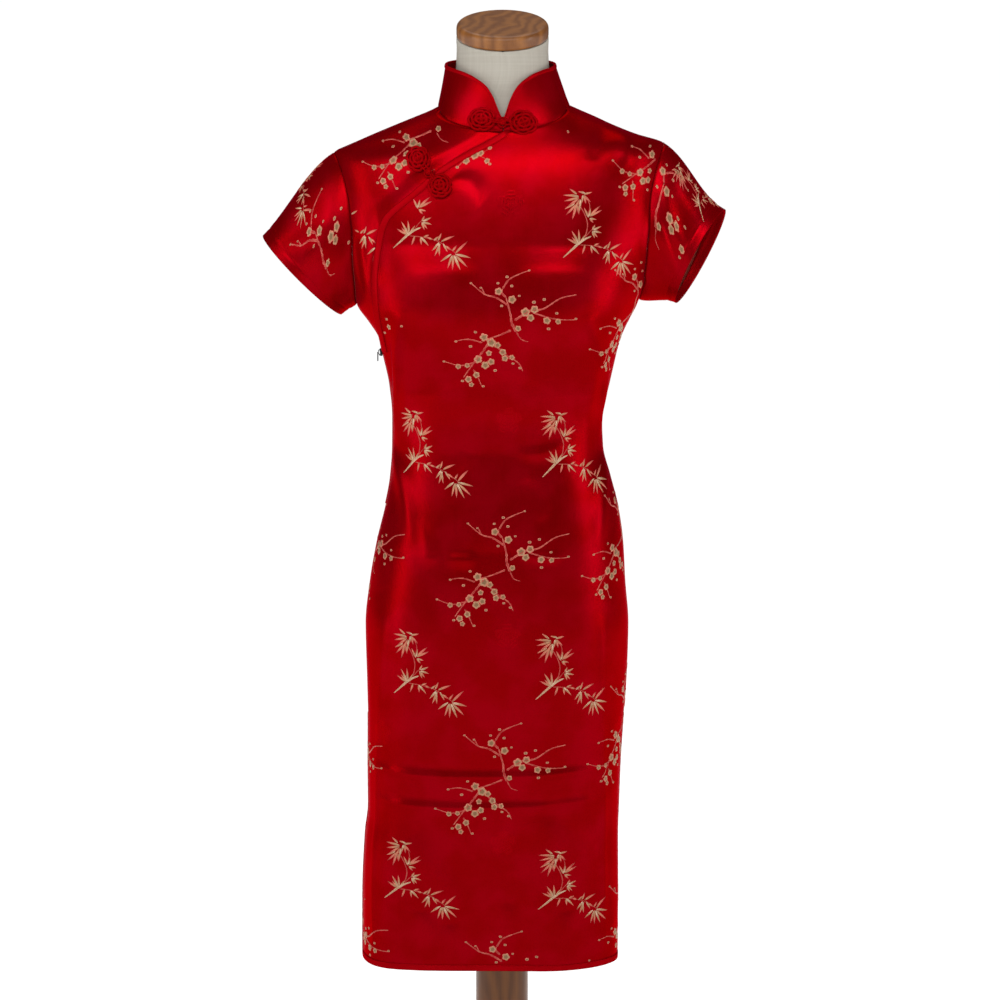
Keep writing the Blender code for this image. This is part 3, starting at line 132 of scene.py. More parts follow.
def curveThrough(places, values, at):
    # Monotone cubic: the tangent at a table row is the harmonic mean of the slopes beside it.
    places, values = np.asarray(places, float), np.asarray(values, float)
    steps = np.diff(places)
    slopes = np.diff(values) / steps
    same = slopes[:-1] * slopes[1:] > 0
    mean = 2 * slopes[:-1] * slopes[1:] / np.where(same, slopes[:-1] + slopes[1:], 1.0)
    tangents = np.concatenate([slopes[:1], np.where(same, mean, 0.0), slopes[-1:]])
    at = np.clip(np.asarray(at, float), places[0], places[-1])
    index = np.clip(np.searchsorted(places, at, side="right") - 1, 0, len(steps) - 1)
    t = (at - places[index]) / steps[index]
    keep = (1 + 2 * t) * (1 - t) ** 2 * values[index] + t * t * (3 - 2 * t) * values[index + 1]
    return keep + (t * (1 - t) ** 2 * tangents[index] - t * t * (1 - t) * tangents[index + 1]) * steps[index]


def ease(low, high, value):
    # Smooth step from low to high: 3t^2 - 2t^3.
    t = np.clip((np.asarray(value, float) - low) / (high - low), 0.0, 1.0)
    return t * t * (3 - 2 * t)


def unit(vectors):
    # The same directions with length 1.
    return vectors / np.maximum(np.linalg.norm(vectors, axis=-1, keepdims=True), 1e-12)


def circle(count):
    # Angles of a full turn, without its end.
    return np.linspace(0, 2 * math.pi, count, endpoint=False)


def runLength(path):
    # Length of the path up to each of its points.
    return np.concatenate([[0], np.linalg.norm(np.diff(path, axis=0), axis=1).cumsum()])


def gridRead(grid, row, column):
    # Bilinear reading of a grid at broken rows and columns. The last column may join the first.
    r, c = row.astype(int), column.astype(int)
    after = (c + 1) % grid.shape[1]
    t, s = (row - r)[..., None], (column - c)[..., None]
    return (grid[r, c] * (1 - t) * (1 - s) + grid[r, after] * (1 - t) * s
            + grid[r + 1, c] * t * (1 - s) + grid[r + 1, after] * t * s)


lookup = {"low": 380.0, "high": 1520.0, "columns": 301, "samples": 481}


def bodyTable(side):
    # Half superellipse at each height: radius = (|cos/a|^p + |sin/b|^p)^(-1/p), respaced by arc length.
    z = np.arange(lookup["low"], lookup["high"] + 0.5, 1.0)
    leftReach, rightReach, frontDepth, backDepth, power = (
        curveThrough(bodySections[:, 0], bodySections[:, part], z)[:, None] for part in range(1, 6))
    depth = frontDepth if side < 0 else backDepth
    angle = np.linspace(math.pi, 0.0, lookup["samples"])[None, :]
    half = (leftReach + rightReach) / 2
    reach = (np.abs(np.cos(angle) / half) ** power + np.abs(np.sin(angle) / depth) ** power) ** (-1 / power)
    x = (rightReach - leftReach) / 2 + reach * np.cos(angle)
    y = side * reach * np.abs(np.sin(angle))
    run = np.concatenate([np.zeros((len(z), 1)), np.hypot(np.diff(x), np.diff(y)).cumsum(axis=1)], axis=1)
    share = np.linspace(0.0, 1.0, lookup["columns"])
    grid = np.stack([np.stack([np.interp(share, row / row[-1], xs) for row, xs in zip(run, x)]),
            np.stack([np.interp(share, row / row[-1], ys) for row, ys in zip(run, y)]),
            np.broadcast_to(z[:, None], (len(z), len(share)))], axis=-1)
    normal = unit(np.cross(np.gradient(grid, axis=1), np.gradient(grid, axis=0))) * -side
    return np.concatenate([grid, normal], axis=-1), run[:, -1] / 2


tables = {side: bodyTable(side) for side in (front, back)}


def softenTables():
    # Rounds the kink that the two shoulder tips leave in the rows, away from the seams, by a bell along the
    # height. At the seams both sides take one shared normal, so that their edges meet.
    bell = np.exp(-(np.arange(-24, 25) / 9.0) ** 2 / 2)
    bell /= bell.sum()
    for table, _ in tables.values():
        weight = ease(0.99, 0.72, np.abs(np.linspace(-1, 1, lookup["columns"])))[None, :, None]
        padded = np.concatenate([np.repeat(table[:1], 24, axis=0), table, np.repeat(table[-1:], 24, axis=0)])
        smooth = sum(share * padded[k:k + len(table)] for k, share in enumerate(bell))
        smooth[..., 2] = table[..., 2]
        table[:] = table * (1 - weight) + smooth * weight
    for edge, step in ((0, 1), (-1, -1)):
        shared = unit(tables[front][0][:, edge, 3:] + tables[back][0][:, edge, 3:])
        for table, _ in tables.values():
            for near, share in enumerate((1.0, 0.6, 0.25)):
                column = table[:, edge + step * near, 3:]
                column[:] = unit(column * (1 - share) + shared * share)


softenTables()


def halfLength(side, z):
    # Length of cloth from the middle to the seam at a height.
    return np.interp(z, np.arange(lookup["low"], lookup["high"] + 0.5, 1.0), tables[side][1])


def bareBody(side, across, z):
    # Point and outward normal of the smooth body, read from its table.
    table = tables[side][0]
    across, z = np.broadcast_arrays(np.asarray(across, float), np.asarray(z, float))
    row = np.clip(z - lookup["low"], 0, table.shape[0] - 1.001)
    column = (np.clip(across, -1, 1) + 1) / 2 * (table.shape[1] - 1.001)
    found = gridRead(table, row, column)
    return found[..., :3], unit(found[..., 3:])


def acrossAt(side, x, z):
    # Place across, from -1 to 1, of the point at x: the table row's x, searched and interpolated.
    x, z = np.broadcast_arrays(np.asarray(x, float), np.asarray(z, float))
    table = tables[side][0][..., 0]
    row = np.clip(z.ravel() - lookup["low"], 0, len(table) - 1.001)
    r = row.astype(int)
    xs = table[r] * (1 - (row - r))[:, None] + table[r + 1] * (row - r)[:, None]
    index = np.clip((xs < x.ravel()[:, None]).sum(axis=1), 1, xs.shape[1] - 1)
    every = np.arange(len(index))
    low, high = xs[every, index - 1], xs[every, index]
    t = np.clip((x.ravel() - low) / np.maximum(high - low, 1e-9), 0, 1)
    return ((index - 1 + t) / (xs.shape[1] - 1) * 2 - 1).reshape(x.shape)


def creaseHeight(side, across, z):
    # Each crease is a bell across a bowed line, wider on one side, and fades in and out along it.
    u = across * halfLength(side, z)
    total = np.zeros(u.shape)
    for where, start, end, bow, wideLeft, wideRight, rise in creases:
        if where == side:
            way = np.array([end[0] - start[0], end[1] - start[1]], float)
            long = math.hypot(*way)
            way /= long
            t = ((u - start[0]) * way[0] + (z - start[1]) * way[1]) / long
            off = (u - start[0]) * -way[1] + (z - start[1]) * way[0] - bow * 4 * t * (1 - t)
            width = np.where(off > 0, wideLeft, wideRight)
            fade = np.sqrt(ease(-0.02, 0.35, t) * ease(1.02, 0.65, t))
            total += cloth["creasing"] * rise * np.exp(-((off / width) ** 2) / 2) * fade
    return total


def foldHeight(side, across, z):
    # The solids' broad folds, a bell across each, and then the finer creases.
    total = np.zeros(np.broadcast(across, z).shape)
    for where, middle, low, high, lean, width, rise in broadFolds:
        if where == side:
            share = np.clip((z - low) / (high - low), 0.0, 1.0)
            fade = np.sin(np.pi * share) ** 0.8 if low > 450 else ease(1.0, 0.4, share)
            total = total + rise * np.exp(-(((across - middle
                    - lean * (share - 0.5)) / width) ** 2) / 2) * fade
    return (total + creaseHeight(side, across, z)) * ease(1.0, 0.93, np.abs(across))


def clothPoint(side, across, z, raised=0.0):
    # The worn cloth: body, plus folds along its normal, plus the lifted middle of the front hem.
    across, z = np.broadcast_arrays(np.asarray(across, float), np.asarray(z, float))
    point, normal = bareBody(side, across, z)
    point = point + normal * (foldHeight(side, across, z) + raised)[..., None]
    lift = cloth["hemLift"] * (side < 0) * (1 - np.abs(across) ** 2.5)
    point[..., 2] += lift * ease(cloth["hem"] + 190, cloth["hem"], z)
    return point


def clothNormal(side, across, z):
    # Normal from small steps across and up; the bare body's at the seams.
    step, rise = 0.006, 1.0
    more, less = np.clip(across + step, -1, 1), np.clip(across - step, -1, 1)
    along = clothPoint(side, more, z) - clothPoint(side, less, z)
    up = clothPoint(side, across, z + rise) - clothPoint(side, across, z - rise)
    normal = unit(np.cross(along, up)) * -side
    return np.where((np.abs(across) > 0.998)[..., None], bareBody(side, across, z)[1], normal)


def gridNormals(grid, outwards):
    # Normals of a grid of points from its own differences; outwards turns their sign.
    return unit(np.cross(np.gradient(grid, axis=1), np.gradient(grid, axis=0))) * outwards


print("mesh helpers")


def addMesh(name, points, faces, materials, body="dress_on_form", slot=None, replaces=(), uv=None, tone=None,
        faceMaterials=None, smooth=True):
    # Quads and triangles from arrays of corners; uv and tone hold one row for each point.
    mesh = bpy.data.meshes.new(name)
    faces = [np.asarray(part, np.int32) for part in (faces if isinstance(faces, list) else [faces])]
    corners = np.concatenate([part.ravel() for part in faces])
    sizes = np.concatenate([np.full(len(part), part.shape[1], np.int32) for part in faces])
    mesh.vertices.add(len(points))
    mesh.vertices.foreach_set("co", (np.asarray(points, np.float32) * toMetres).ravel())
    mesh.loops.add(len(corners))
    mesh.loops.foreach_set("vertex_index", corners)
    mesh.polygons.add(len(sizes))
    mesh.polygons.foreach_set("loop_start", np.concatenate([[0], sizes.cumsum()[:-1]]).astype(np.int32))
    mesh.polygons.foreach_set("loop_total", sizes)
    mesh.polygons.foreach_set("use_smooth", np.broadcast_to(smooth, len(sizes)))
    for material in materials if isinstance(materials, (list, tuple)) else [materials]:
        mesh.materials.append(material)
    if faceMaterials is not None:
        mesh.polygons.foreach_set("material_index", np.asarray(faceMaterials, np.int32))
    if uv is not None:
        layer = mesh.uv_layers.new(name="clothMap")
        layer.data.foreach_set("uv", (np.asarray(uv, np.float32)[corners] * toMetres).ravel())
    if tone is not None:
        layer = mesh.attributes.new("tone", "FLOAT", "POINT")
        layer.data.foreach_set("value", np.asarray(tone, np.float32))
    mesh.update(calc_edges=True)
    mesh.validate()
    made = bpy.data.objects.new(name, mesh)
    bpy.context.scene.collection.objects.link(made)
    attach(made, body)
    if replaces:
        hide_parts(*replaces)
    return made


def gridFaces(rows, columns, roundColumns=False, roundRows=False):
    # Quads of a grid of points stored row by row, joined end to end where it is round.
    r = np.arange(rows if roundRows else rows - 1)[:, None]
    c = np.arange(columns if roundColumns else columns - 1)[None, :]
    nextRow, nextColumn = (r + 1) % rows, (c + 1) % columns
    return np.stack([r * columns + c, r * columns + nextColumn, nextRow * columns + nextColumn,
            nextRow * columns + c], axis=-1).reshape(-1, 4)


def fan(middle, ring):
    # Triangles from a middle point to the sides of a closed ring of corners.
    return np.stack([np.full(len(ring), middle), ring, np.roll(ring, -1)], axis=-1)


def roundStack(rings, ends=None):
    # A stack of rings, closed at both ends by a point or, without points, by one flat face.
    rows, around = rings.shape[:2]
    points, first, last = rings.reshape(-1, 3), np.arange(around), (rows - 1) * around
    skin = gridFaces(rows, around, roundColumns=True)
    if ends is None:
        return points, orient(points, [skin, first[None, ::-1], first[None] + last])
    caps = np.concatenate([fan(len(points), first[::-1]), fan(len(points) + 1, first + last)])
    points = np.concatenate([points, ends])
    return points, orient(points, [skin, caps])


def shell(name, outer, inner, outerMaterial, innerMaterial, uv=None, roundColumns=False, flip=False, **more):
    # Closed cloth wall: an outer and an inner grid, with a rim of quads round every open edge.
    rows, columns = outer.shape[:2]
    skin = gridFaces(rows, columns, roundColumns)
    shift = rows * columns
    number = np.arange(shift).reshape(rows, columns)
    edges = [(number[0], number[0] + shift), (number[-1][::-1], number[-1][::-1] + shift)]
    if roundColumns:
        edges = [(np.append(one, one[0]), np.append(two, two[0])) for one, two in edges]
    else:
        edges += [(number[::-1, 0], number[::-1, 0] + shift), (number[:, -1], number[:, -1] + shift)]
    rim = np.concatenate([np.stack([one[1:], one[:-1], two[:-1], two[1:]], axis=-1) for one, two in edges])
    faces = np.concatenate([skin, skin[:, ::-1] + shift, rim])
    if flip:
        faces = faces[:, ::-1]
    which = np.repeat([0, 1, 2], [len(skin), len(skin), len(rim)])
    points = np.concatenate([outer.reshape(-1, 3), inner.reshape(-1, 3)])
    uvs = None if uv is None else np.concatenate([uv.reshape(-1, 2)] * 2)
    return addMesh(name, points, faces, [outerMaterial, innerMaterial, rawEdge], uv=uvs, faceMaterials=which,
            smooth=which < 2, **more)


def tube(path, radius, sides=8, closed=False, up=None):
    # Round section carried along a path: points = path + radius (side cos a + lift sin a). Ends are closed.
    path = np.asarray(path, float)
    ahead = np.roll(path, -1, axis=0) - np.roll(path, 1, axis=0) if closed else np.gradient(path, axis=0)
    ahead = unit(ahead)
    lift = np.broadcast_to(np.asarray((0.0, -1.0, 0.3) if up is None else up, float), ahead.shape)
    sideways = unit(np.cross(ahead, lift))
    lift = np.cross(sideways, ahead)
    angle = circle(sides)[None, :, None]
    radius = np.broadcast_to(np.asarray(radius, float), len(path))[:, None, None]
    ring = path[:, None] + radius * (sideways[:, None] * np.cos(angle) + lift[:, None] * np.sin(angle))
    if not closed:
        return roundStack(ring, path[[0, -1]])
    points = ring.reshape(-1, 3)
    return points, orient(points, [gridFaces(len(path), sides, roundColumns=True, roundRows=True)])


def join(parts):
    # Several (points, [faces...]) as one, with the corners renumbered and grouped by their number.
    points, groups, count = [], {}, 0
    for partPoints, faces in parts:
        for part in faces:
            groups.setdefault(part.shape[1], []).append(part + count)
        points.append(partPoints)
        count += len(partPoints)
    return np.concatenate(points), [np.concatenate(group) for group in groups.values()]


def orient(points, faces):
    # Turns a closed shape's faces outwards: the sum of its corner tetrahedra has to be positive.
    volume = sum(
        np.einsum("ij,ij->", points[part[:, 0]], np.cross(points[part[:, k]], points[part[:, k + 1]]))
        for part in faces for k in range(1, part.shape[1] - 1))
    return faces if volume > 0 else [part[:, ::-1] for part in faces]


print("materials")


class Value:
    # Wraps a number socket, so that an expression on it adds Math nodes.
    def __init__(self, maker, socket):
        self.maker, self.socket = maker, socket

    def math(self, operation, *others):
        return self.maker.node("ShaderNodeMath", {"operation": operation}, dict(enumerate((self, *others))))

    def __add__(self, other):
        return self.math("ADD", other)

    def __sub__(self, other):
        return self.math("SUBTRACT", other)

    def __mul__(self, other):
        return self.math("MULTIPLY", other)

    def __truediv__(self, other):
        return self.math("DIVIDE", other)

    def __rsub__(self, other):
        return self.maker.node("ShaderNodeMath", {"operation": "SUBTRACT"}, {0: other, 1: self})

    def __rtruediv__(self, other):
        return self.maker.node("ShaderNodeMath", {"operation": "DIVIDE"}, {0: other, 1: self})

    __radd__ = __add__
    __rmul__ = __mul__

    def sine(self):
        return self.math("SINE")

    def clamp(self, low=0.0, high=1.0):
        return self.math("MAXIMUM", low).math("MINIMUM", high)

    def step(self, low, high):
        sockets = {"Value": self, "From Min": low, "From Max": high}
        return self.maker.node("ShaderNodeMapRange", {"interpolation_type": "SMOOTHSTEP"}, sockets)


class Finish:
    # One material: node() makes every node from its type, settings and sockets.
    def __init__(self, name, **fixed):
        self.material = bpy.data.materials.new(name)
        self.material.use_nodes = True
        self.tree = self.material.node_tree
        self.shader = self.tree.nodes["Principled BSDF"]
        for socket, value in fixed.items():
            self.put(self.shader.inputs[socket.replace("_", " ")], value)

    def put(self, socket, value):
        if isinstance(value, Value):
            self.tree.links.new(value.socket, socket)
        elif isinstance(value, (tuple, list)) and len(value) == 3 and len(socket.default_value) == 4:
            socket.default_value = (*value, 1.0)
        else:
            socket.default_value = value

    def node(self, kind, settings=None, sockets=None, out=0):
        made = self.tree.nodes.new(kind)
        for name, value in (settings or {}).items():
            if name == "stops":
                ramp = made.color_ramp
                while len(ramp.elements) < len(value):
                    ramp.elements.new(0.5)
                for element, (place, colour) in zip(ramp.elements, value):
                    element.position, element.color = place, (*colour, 1.0)
            else:
                setattr(made, name, value)
        for name, value in (sockets or {}).items():
            self.put(made.inputs[name], value)
        return Value(self, made.outputs[out])

    def place(self, scale=(1.0, 1.0, 1.0), source="Object", turn=(0.0, 0.0, 0.0)):
        where = self.node("ShaderNodeTexCoord", out=source)
        return self.node("ShaderNodeMapping", sockets={"Vector": where, "Scale": scale, "Rotation": turn})

    def split(self, vector):
        made = self.node("ShaderNodeSeparateXYZ", sockets={0: vector})
        return [Value(self, made.socket.node.outputs[part]) for part in range(3)]

    def noise(self, place, size, detail=2.0, rough=0.5, distortion=0.0):
        sockets = {"Vector": place, "Scale": size, "Detail": detail, "Roughness": rough,
                "Distortion": distortion}
        return self.node("ShaderNodeTexNoise", sockets=sockets)

    def mix(self, factor, one, two, kind="MIX"):
        settings = {"data_type": "RGBA", "blend_type": kind}
        return self.node("ShaderNodeMix", settings, {0: factor, 6: one, 7: two}, out=2)

    def ramp(self, factor, stops):
        return self.node("ShaderNodeValToRGB", {"stops": stops}, {0: factor})

    def bump(self, height, distance, strength=1.0, under=None):
        sockets = {"Height": height, "Distance": distance, "Strength": strength}
        if under is not None:
            sockets["Normal"] = under
        return self.node("ShaderNodeBump", sockets=sockets)

    def set(self, **links):
        for socket, value in links.items():
            self.put(self.shader.inputs[socket.replace("_", " ")], value)
        return self.material


satinLook = {
    "deep": (0.32, 0.0003, 0.0014),
    "bright": (0.42, 0.0004, 0.0075),
    "roughness": 0.34,
    "metallic": 0.7,
}


def makeSatin(name, deep, bright, roughness, metallic, flowers=True):
    # Warp-faced satin: floats run up the cloth, so its fine threads and slubs are long in v.
    made = Finish(name, Specular_IOR_Level=0.0, Specular_Tint=(1.0, 0.03, 0.07), Metallic=metallic,
            Sheen_Weight=0.12, Sheen_Roughness=0.35, Sheen_Tint=(1.0, 0.0, 0.1))
    flat = made.place(source="UV")
    u, v, _ = made.split(flat)
    cloud = made.noise(flat, 22.0, 3.0, 0.5)
    slub = made.noise(made.place((900.0, 22.0, 1.0), "UV"), 1.0, 2.0, 0.6)
    threads = (u * (2 * math.pi / 0.00042)).sine() * 0.5 + 0.5
    picks = ((v + u * 0.2) * (2 * math.pi / 0.0011)).sine() * 0.5 + 0.5
    colour = made.mix((cloud.step(0.35, 0.68) * 0.6 + slub * 0.3).clamp(), deep, bright)
    rough = roughness + (cloud - 0.5) * 0.1 + (slub - 0.5) * 0.1
    height = threads * 0.3 + picks * 0.25 + slub * 0.9
    if flowers:
        mask = selfFlowers(made, u, v)
        colour = made.mix(mask * 0.35, colour, (0.46, 0.001, 0.006))
        rough = rough - mask * 0.07
        height = height + mask * 1.5
    normal = made.bump(height, 0.00006, 0.55, made.bump(made.noise(flat, 60.0, 3.0, 0.55), 0.0012, 0.1))
    return made.set(Base_Color=colour, Roughness=rough, Normal=normal)


def selfFlowers(made, u, v):
    # Round tone-on-tone flowers on a half-drop lattice: petals swell the edge radius by cos(5 angle).
    across, tall = 0.156, 0.2465
    cellU = (u / across + 0.42).math("FRACT") - 0.5
    drop = ((u / across + 0.42).math("FLOOR").math("MODULO", 2.0)).math("ABSOLUTE") * 0.5
    cellV = (v / tall + 0.235 + drop).math("FRACT") - 0.5
    x, y = cellU * across, cellV * tall
    radius = (x * x + y * y).math("SQRT")
    angle = y.math("ARCTAN2", x)
    edge = 0.0135 + (angle * 5.0).sine() * 0.0022 + (angle * 10.0 + 1.0).sine() * 0.001
    disc = (edge - radius).step(-0.001, 0.001)
    rings = (radius * (2 * math.pi / 0.0045) + (angle * 5.0).sine() * 1.4).sine() * 0.5 + 0.5
    return disc * (rings * 0.6 + 0.4)


satin = makeSatin("red brocade satin", **satinLook)
trimSatin = makeSatin("plain bias satin", (0.38, 0.0006, 0.003), (0.47, 0.001, 0.006), 0.44, 0.5, False)


def makeReverse():
    # Dull back of the brocade: salmon weft showing between red threads.
    made = Finish("brocade reverse", Roughness=0.75, Specular_IOR_Level=0.2)
    flat = made.place(source="UV")
    u, v, _ = made.split(flat)
    weave = (u * (2 * math.pi / 0.0009)).sine() * (v * (2 * math.pi / 0.0009)).sine()
    cloud = made.noise(flat, 40.0, 3.0)
    colour = made.mix((cloud + weave * 0.2).clamp(), (0.36, 0.03, 0.022), (0.5, 0.085, 0.06))
    return made.set(Base_Color=colour, Normal=made.bump(weave, 0.0001, 0.5))


def makeLinen():
    # Plain weave: two sine combs, each thread's width shifted by noise, with darker slubs here and there.
    made = Finish("natural linen", Specular_IOR_Level=0.25)
    flat = made.place(source="UV")
    u, v, _ = made.split(flat)
    wander = made.noise(made.place((80.0, 300.0, 1.0), "UV"), 1.0, 2.0) * 0.6
    warp = (u * (2 * math.pi / 0.0011) + wander * 6.0).sine() * 0.5 + 0.5
    weft = (v * (2 * math.pi / 0.0012) + wander * 5.0).sine() * 0.5 + 0.5
    slubWarp = made.noise(made.place((420.0, 12.0, 1.0), "UV"), 1.0, 3.0, 0.65)
    slubWeft = made.noise(made.place((10.0, 420.0, 1.0), "UV"), 1.0, 3.0, 0.65)
    tone = (slubWarp.step(0.3, 0.8) * 0.3 + slubWeft.step(0.3, 0.8) * 0.3 + warp * weft * 0.3).clamp()
    colour = made.mix(tone, (0.5, 0.462, 0.388), (0.655, 0.62, 0.545))
    height = warp * 0.5 + weft * 0.5 + slubWarp * 0.8 + slubWeft * 0.5
    rough = 0.86 + (slubWarp - 0.5) * 0.1
    return made.set(Base_Color=colour, Roughness=rough, Normal=made.bump(height, 0.00025, 0.7))


def makeWood(name, dark, light, turn, rough):
    # Growth rings: noise-bent distance bands along one axis, under fine pores and a varnish coat.
    made = Finish(name, Coat_Weight=0.12, Coat_Roughness=0.12, IOR=1.5)
    turn = 0, 0, turn
    x = made.split(made.place(turn=turn))[0]
    bend = made.noise(made.place((6.0, 6.0, 1.6), turn=turn), 3.0, 3.0, 0.55)
    rings = (x * 420.0 + bend * 26.0).sine() * 0.5 + 0.5
    pores = made.noise(made.place((900.0, 900.0, 18.0), turn=turn), 1.0, 3.0, 0.6)
    broad = made.noise(made.place((14.0, 14.0, 3.0), turn=turn), 2.0, 2.0)
    tone = (rings * 0.38 + pores * 0.42 + broad * 0.3).clamp()
    half = tuple((a + b) / 2 for a, b in zip(dark, light))
    colour = made.ramp(tone, [(0.18, dark), (0.55, half), (0.9, light)])
    return made.set(Base_Color=colour, Roughness=rough + (pores - 0.5) * 0.15,
            Normal=made.bump(pores * 0.7 + rings * 0.3, 0.0002, 0.35))


def makeMetal():
    # Dark painted metal: fine brushed noise, and lighter worn spots where another noise is high.
    made = Finish("dark enamelled metal", Metallic=0.85, Specular_IOR_Level=0.5)
    scratch = made.noise(made.place((300.0, 300.0, 2400.0)), 1.0, 4.0, 0.6)
    spots = made.noise(made.place(), 500.0, 3.0)
    colour = made.mix(spots.step(0.62, 0.78), (0.035, 0.03, 0.031), (0.16, 0.13, 0.11))
    return made.set(Base_Color=colour, Roughness=0.3 + scratch * 0.25,
            Normal=made.bump(scratch, 0.00008, 0.3))


def makeThread():
    # Figure weft: tone runs from salmon stems to cream leaf bases, with the floats' fine ribs across.
    made = Finish("gold figure thread", Metallic=0.3, Specular_IOR_Level=0.4,
            Specular_Tint=(1.0, 0.85, 0.62))
    tone = made.node("ShaderNodeAttribute", {"attribute_name": "tone"}, out="Fac")
    # Tones above 0.9 mark the flowers' eyes, where a dark brown is painted shade standing for the shadow in
    # the sunk heart; there the ramp reads tone 0.6.
    eye = tone.step(0.9, 4.6)
    tone = tone - (tone - 0.6) * tone.step(0.9, 1.0)
    flat = made.place(source="UV")
    u, v, _ = made.split(flat)
    ribs = ((v + u * 0.35) * (2 * math.pi / 0.0008)).sine() * 0.5 + 0.5
    patch = made.noise(flat, 160.0, 2.0)
    shade = (tone + (ribs - 0.5) * 0.16 + (patch - 0.5) * 0.34).clamp()
    colour = made.ramp(shade, [(0.0, (0.45, 0.015, 0.018)), (0.2, (0.66, 0.12, 0.1)),
            (0.38, (0.85, 0.25, 0.175)), (0.56, (0.46, 0.23, 0.105)),
            (0.8, (0.8, 0.54, 0.36)), (1.0, (0.93, 0.8, 0.58))])
    # painted shade: the dark brown of the flowers' sunk eyes
    colour = made.mix(eye, colour, (0.3, 0.16, 0.08))
    return made.set(Base_Color=colour, Roughness=0.42 + (patch - 0.5) * 0.2,
            Normal=made.bump(ribs, 0.0001, 0.5))


def makeRawEdge():
    # Turned edge of the cloth: matt red thread, a little uneven.
    made = Finish("turned cloth edge", Roughness=0.9, Specular_IOR_Level=0.0)
    tufts = made.noise(made.place(), 900.0, 2.0)
    return made.set(Base_Color=made.mix(tufts, (0.2, 0.0004, 0.002), (0.3, 0.0008, 0.004)),
            Normal=made.bump(tufts, 0.0002, 0.3))


rawEdge = makeRawEdge()
reverse = makeReverse()
linen = makeLinen()
capWood = makeWood("varnished cap wood", (0.17, 0.052, 0.01), (0.42, 0.16, 0.034), 0.35, 0.4)
standWood = makeWood("turned stand wood", (0.13, 0.038, 0.005), (0.32, 0.11, 0.016), 0.0, 0.42)
darkMetal = makeMetal()
thread = makeThread()

print("panels")


def armhole(side, hand, angle):
    # Armhole from the underarm, angle 0, to the shoulder tip, angle pi.
    underarm, tip, _ = armHeights[hand]
    z = underarm + (tip - underarm) * (1 - np.cos(angle)) / 2
    return hand * (1 - armDepth[side] * np.sin(angle) / halfLength(side, z)), z


def slitGap(side, hand, z):
    # The slit's gap grows from its top to the hem as share^1.4.
    top, frontGap, backGap = slits[hand]
    return (frontGap if side < 0 else backGap) * np.clip((top - z) / (top - cloth["hem"]), 0, 1) ** 1.4


def neckline(side, hand, share):
    # Neckline from the middle, share 0, to the neck point, share 1: a quarter of an ellipse in x and height,
    # read at even steps across the body by halving the way to each better height.
    share = np.asarray(share, float)
    low, high = neckEdge[side], armHeights[hand][2]
    start = acrossAt(side, np.array([neckEdge["middle"]]), np.array([low]))[0]
    across, z = start + (hand - start) * share, low + (high - low) * share ** 2
    for _ in range(40):
        x = bareBody(side, across, z)[0][..., 0]
        sine = np.clip((x - neckEdge["middle"]) * hand / (neckEdge["half"] + neckEdge["middle"]), 0, 1)
        z = (z + low + (high - low) * (1 - np.sqrt(1 - sine ** 2))) / 2
    return across, np.where(share >= 1, high, z)


def placketX(z):
    # The slanted opening's x at a height.
    return curveThrough(placketLine[:, 1], placketLine[:, 0], z)


rowCounts = {"skirt": 252, "arm": 58, "shoulder": 18}


def sideEdge(side, hand, lowest=None):
    # A panel's whole side edge from the hem: slit and side seam, armhole, shoulder seam.
    underarm, tip, neck = armHeights[hand]
    lowest = cloth["hem"] if lowest is None else lowest
    skirt = np.linspace(lowest, underarm, rowCounts["skirt"], endpoint=False)
    arm = armhole(side, hand, np.linspace(0, math.pi, rowCounts["arm"]))
    shoulder = np.linspace(tip, neck, rowCounts["shoulder"])[1:]
    low = hand * (1 - slitGap(side, hand, skirt) / halfLength(side, skirt))
    return (np.concatenate([low, arm[0], np.full(len(shoulder), float(hand))]),
            np.concatenate([skirt, arm[1], shoulder]))


def crowded(count, near=0.004):
    # Shares from 0 to 1 with extra columns close to both edges, for the rolled seams.
    inner = np.linspace(6 * near, 1 - 6 * near, count)
    edge = np.array([0.0, near, near * 2, near * 3, near * 4.5])
    return np.concatenate([edge, inner, 1 - edge[::-1]])


def fillGrid(leftEdge, rightEdge, top, columns, blend):
    # Rows run straight between the side edges, away from them between the same edges evened out by a bell
    # along the rows, and the top row's bend fades in by blend.
    bell = np.exp(-(np.arange(-30, 31) / 11.0) ** 2 / 2)
    grids, inwards = [], ease(0.0, 0.2, np.minimum(columns, 1 - columns))
    for part in range(2):
        plain = leftEdge[part], rightEdge[part]
        longer = [np.concatenate([2 * edge[0] - edge[30:0:-1], edge, 2 * edge[-1] - edge[-2:-32:-1]])
                  for edge in plain]
        evened = [np.convolve(edge, bell / bell.sum(), "valid") for edge in longer]
        straight, even = [low[:, None] * (1 - columns) + high[:, None] * columns
                          for low, high in (plain, evened)]
        grid = straight * (1 - inwards) + even * inwards
        grids.append(grid + (top[part] - grid[-1])[None, :] * blend[:, None])
    return grids


def seamRoll(side, grids, edges):
    # Cloth dips beside a seam: depth exp(-(distance / roll)^2), with the distance along its row or column.
    across, z = grids
    flat = np.stack([across * halfLength(side, z), z], axis=-1)
    dip = np.zeros(across.shape)
    for edge in edges:
        line = {"left": flat[:, :1], "right": flat[:, -1:], "top": flat[-1:], "bottom": flat[:1]}[edge]
        away = np.linalg.norm(flat - line, axis=-1)
        dip = np.maximum(dip, np.exp(-((away / cloth["seamRoll"]) ** 2)))
    return -cloth["seamDip"] * dip


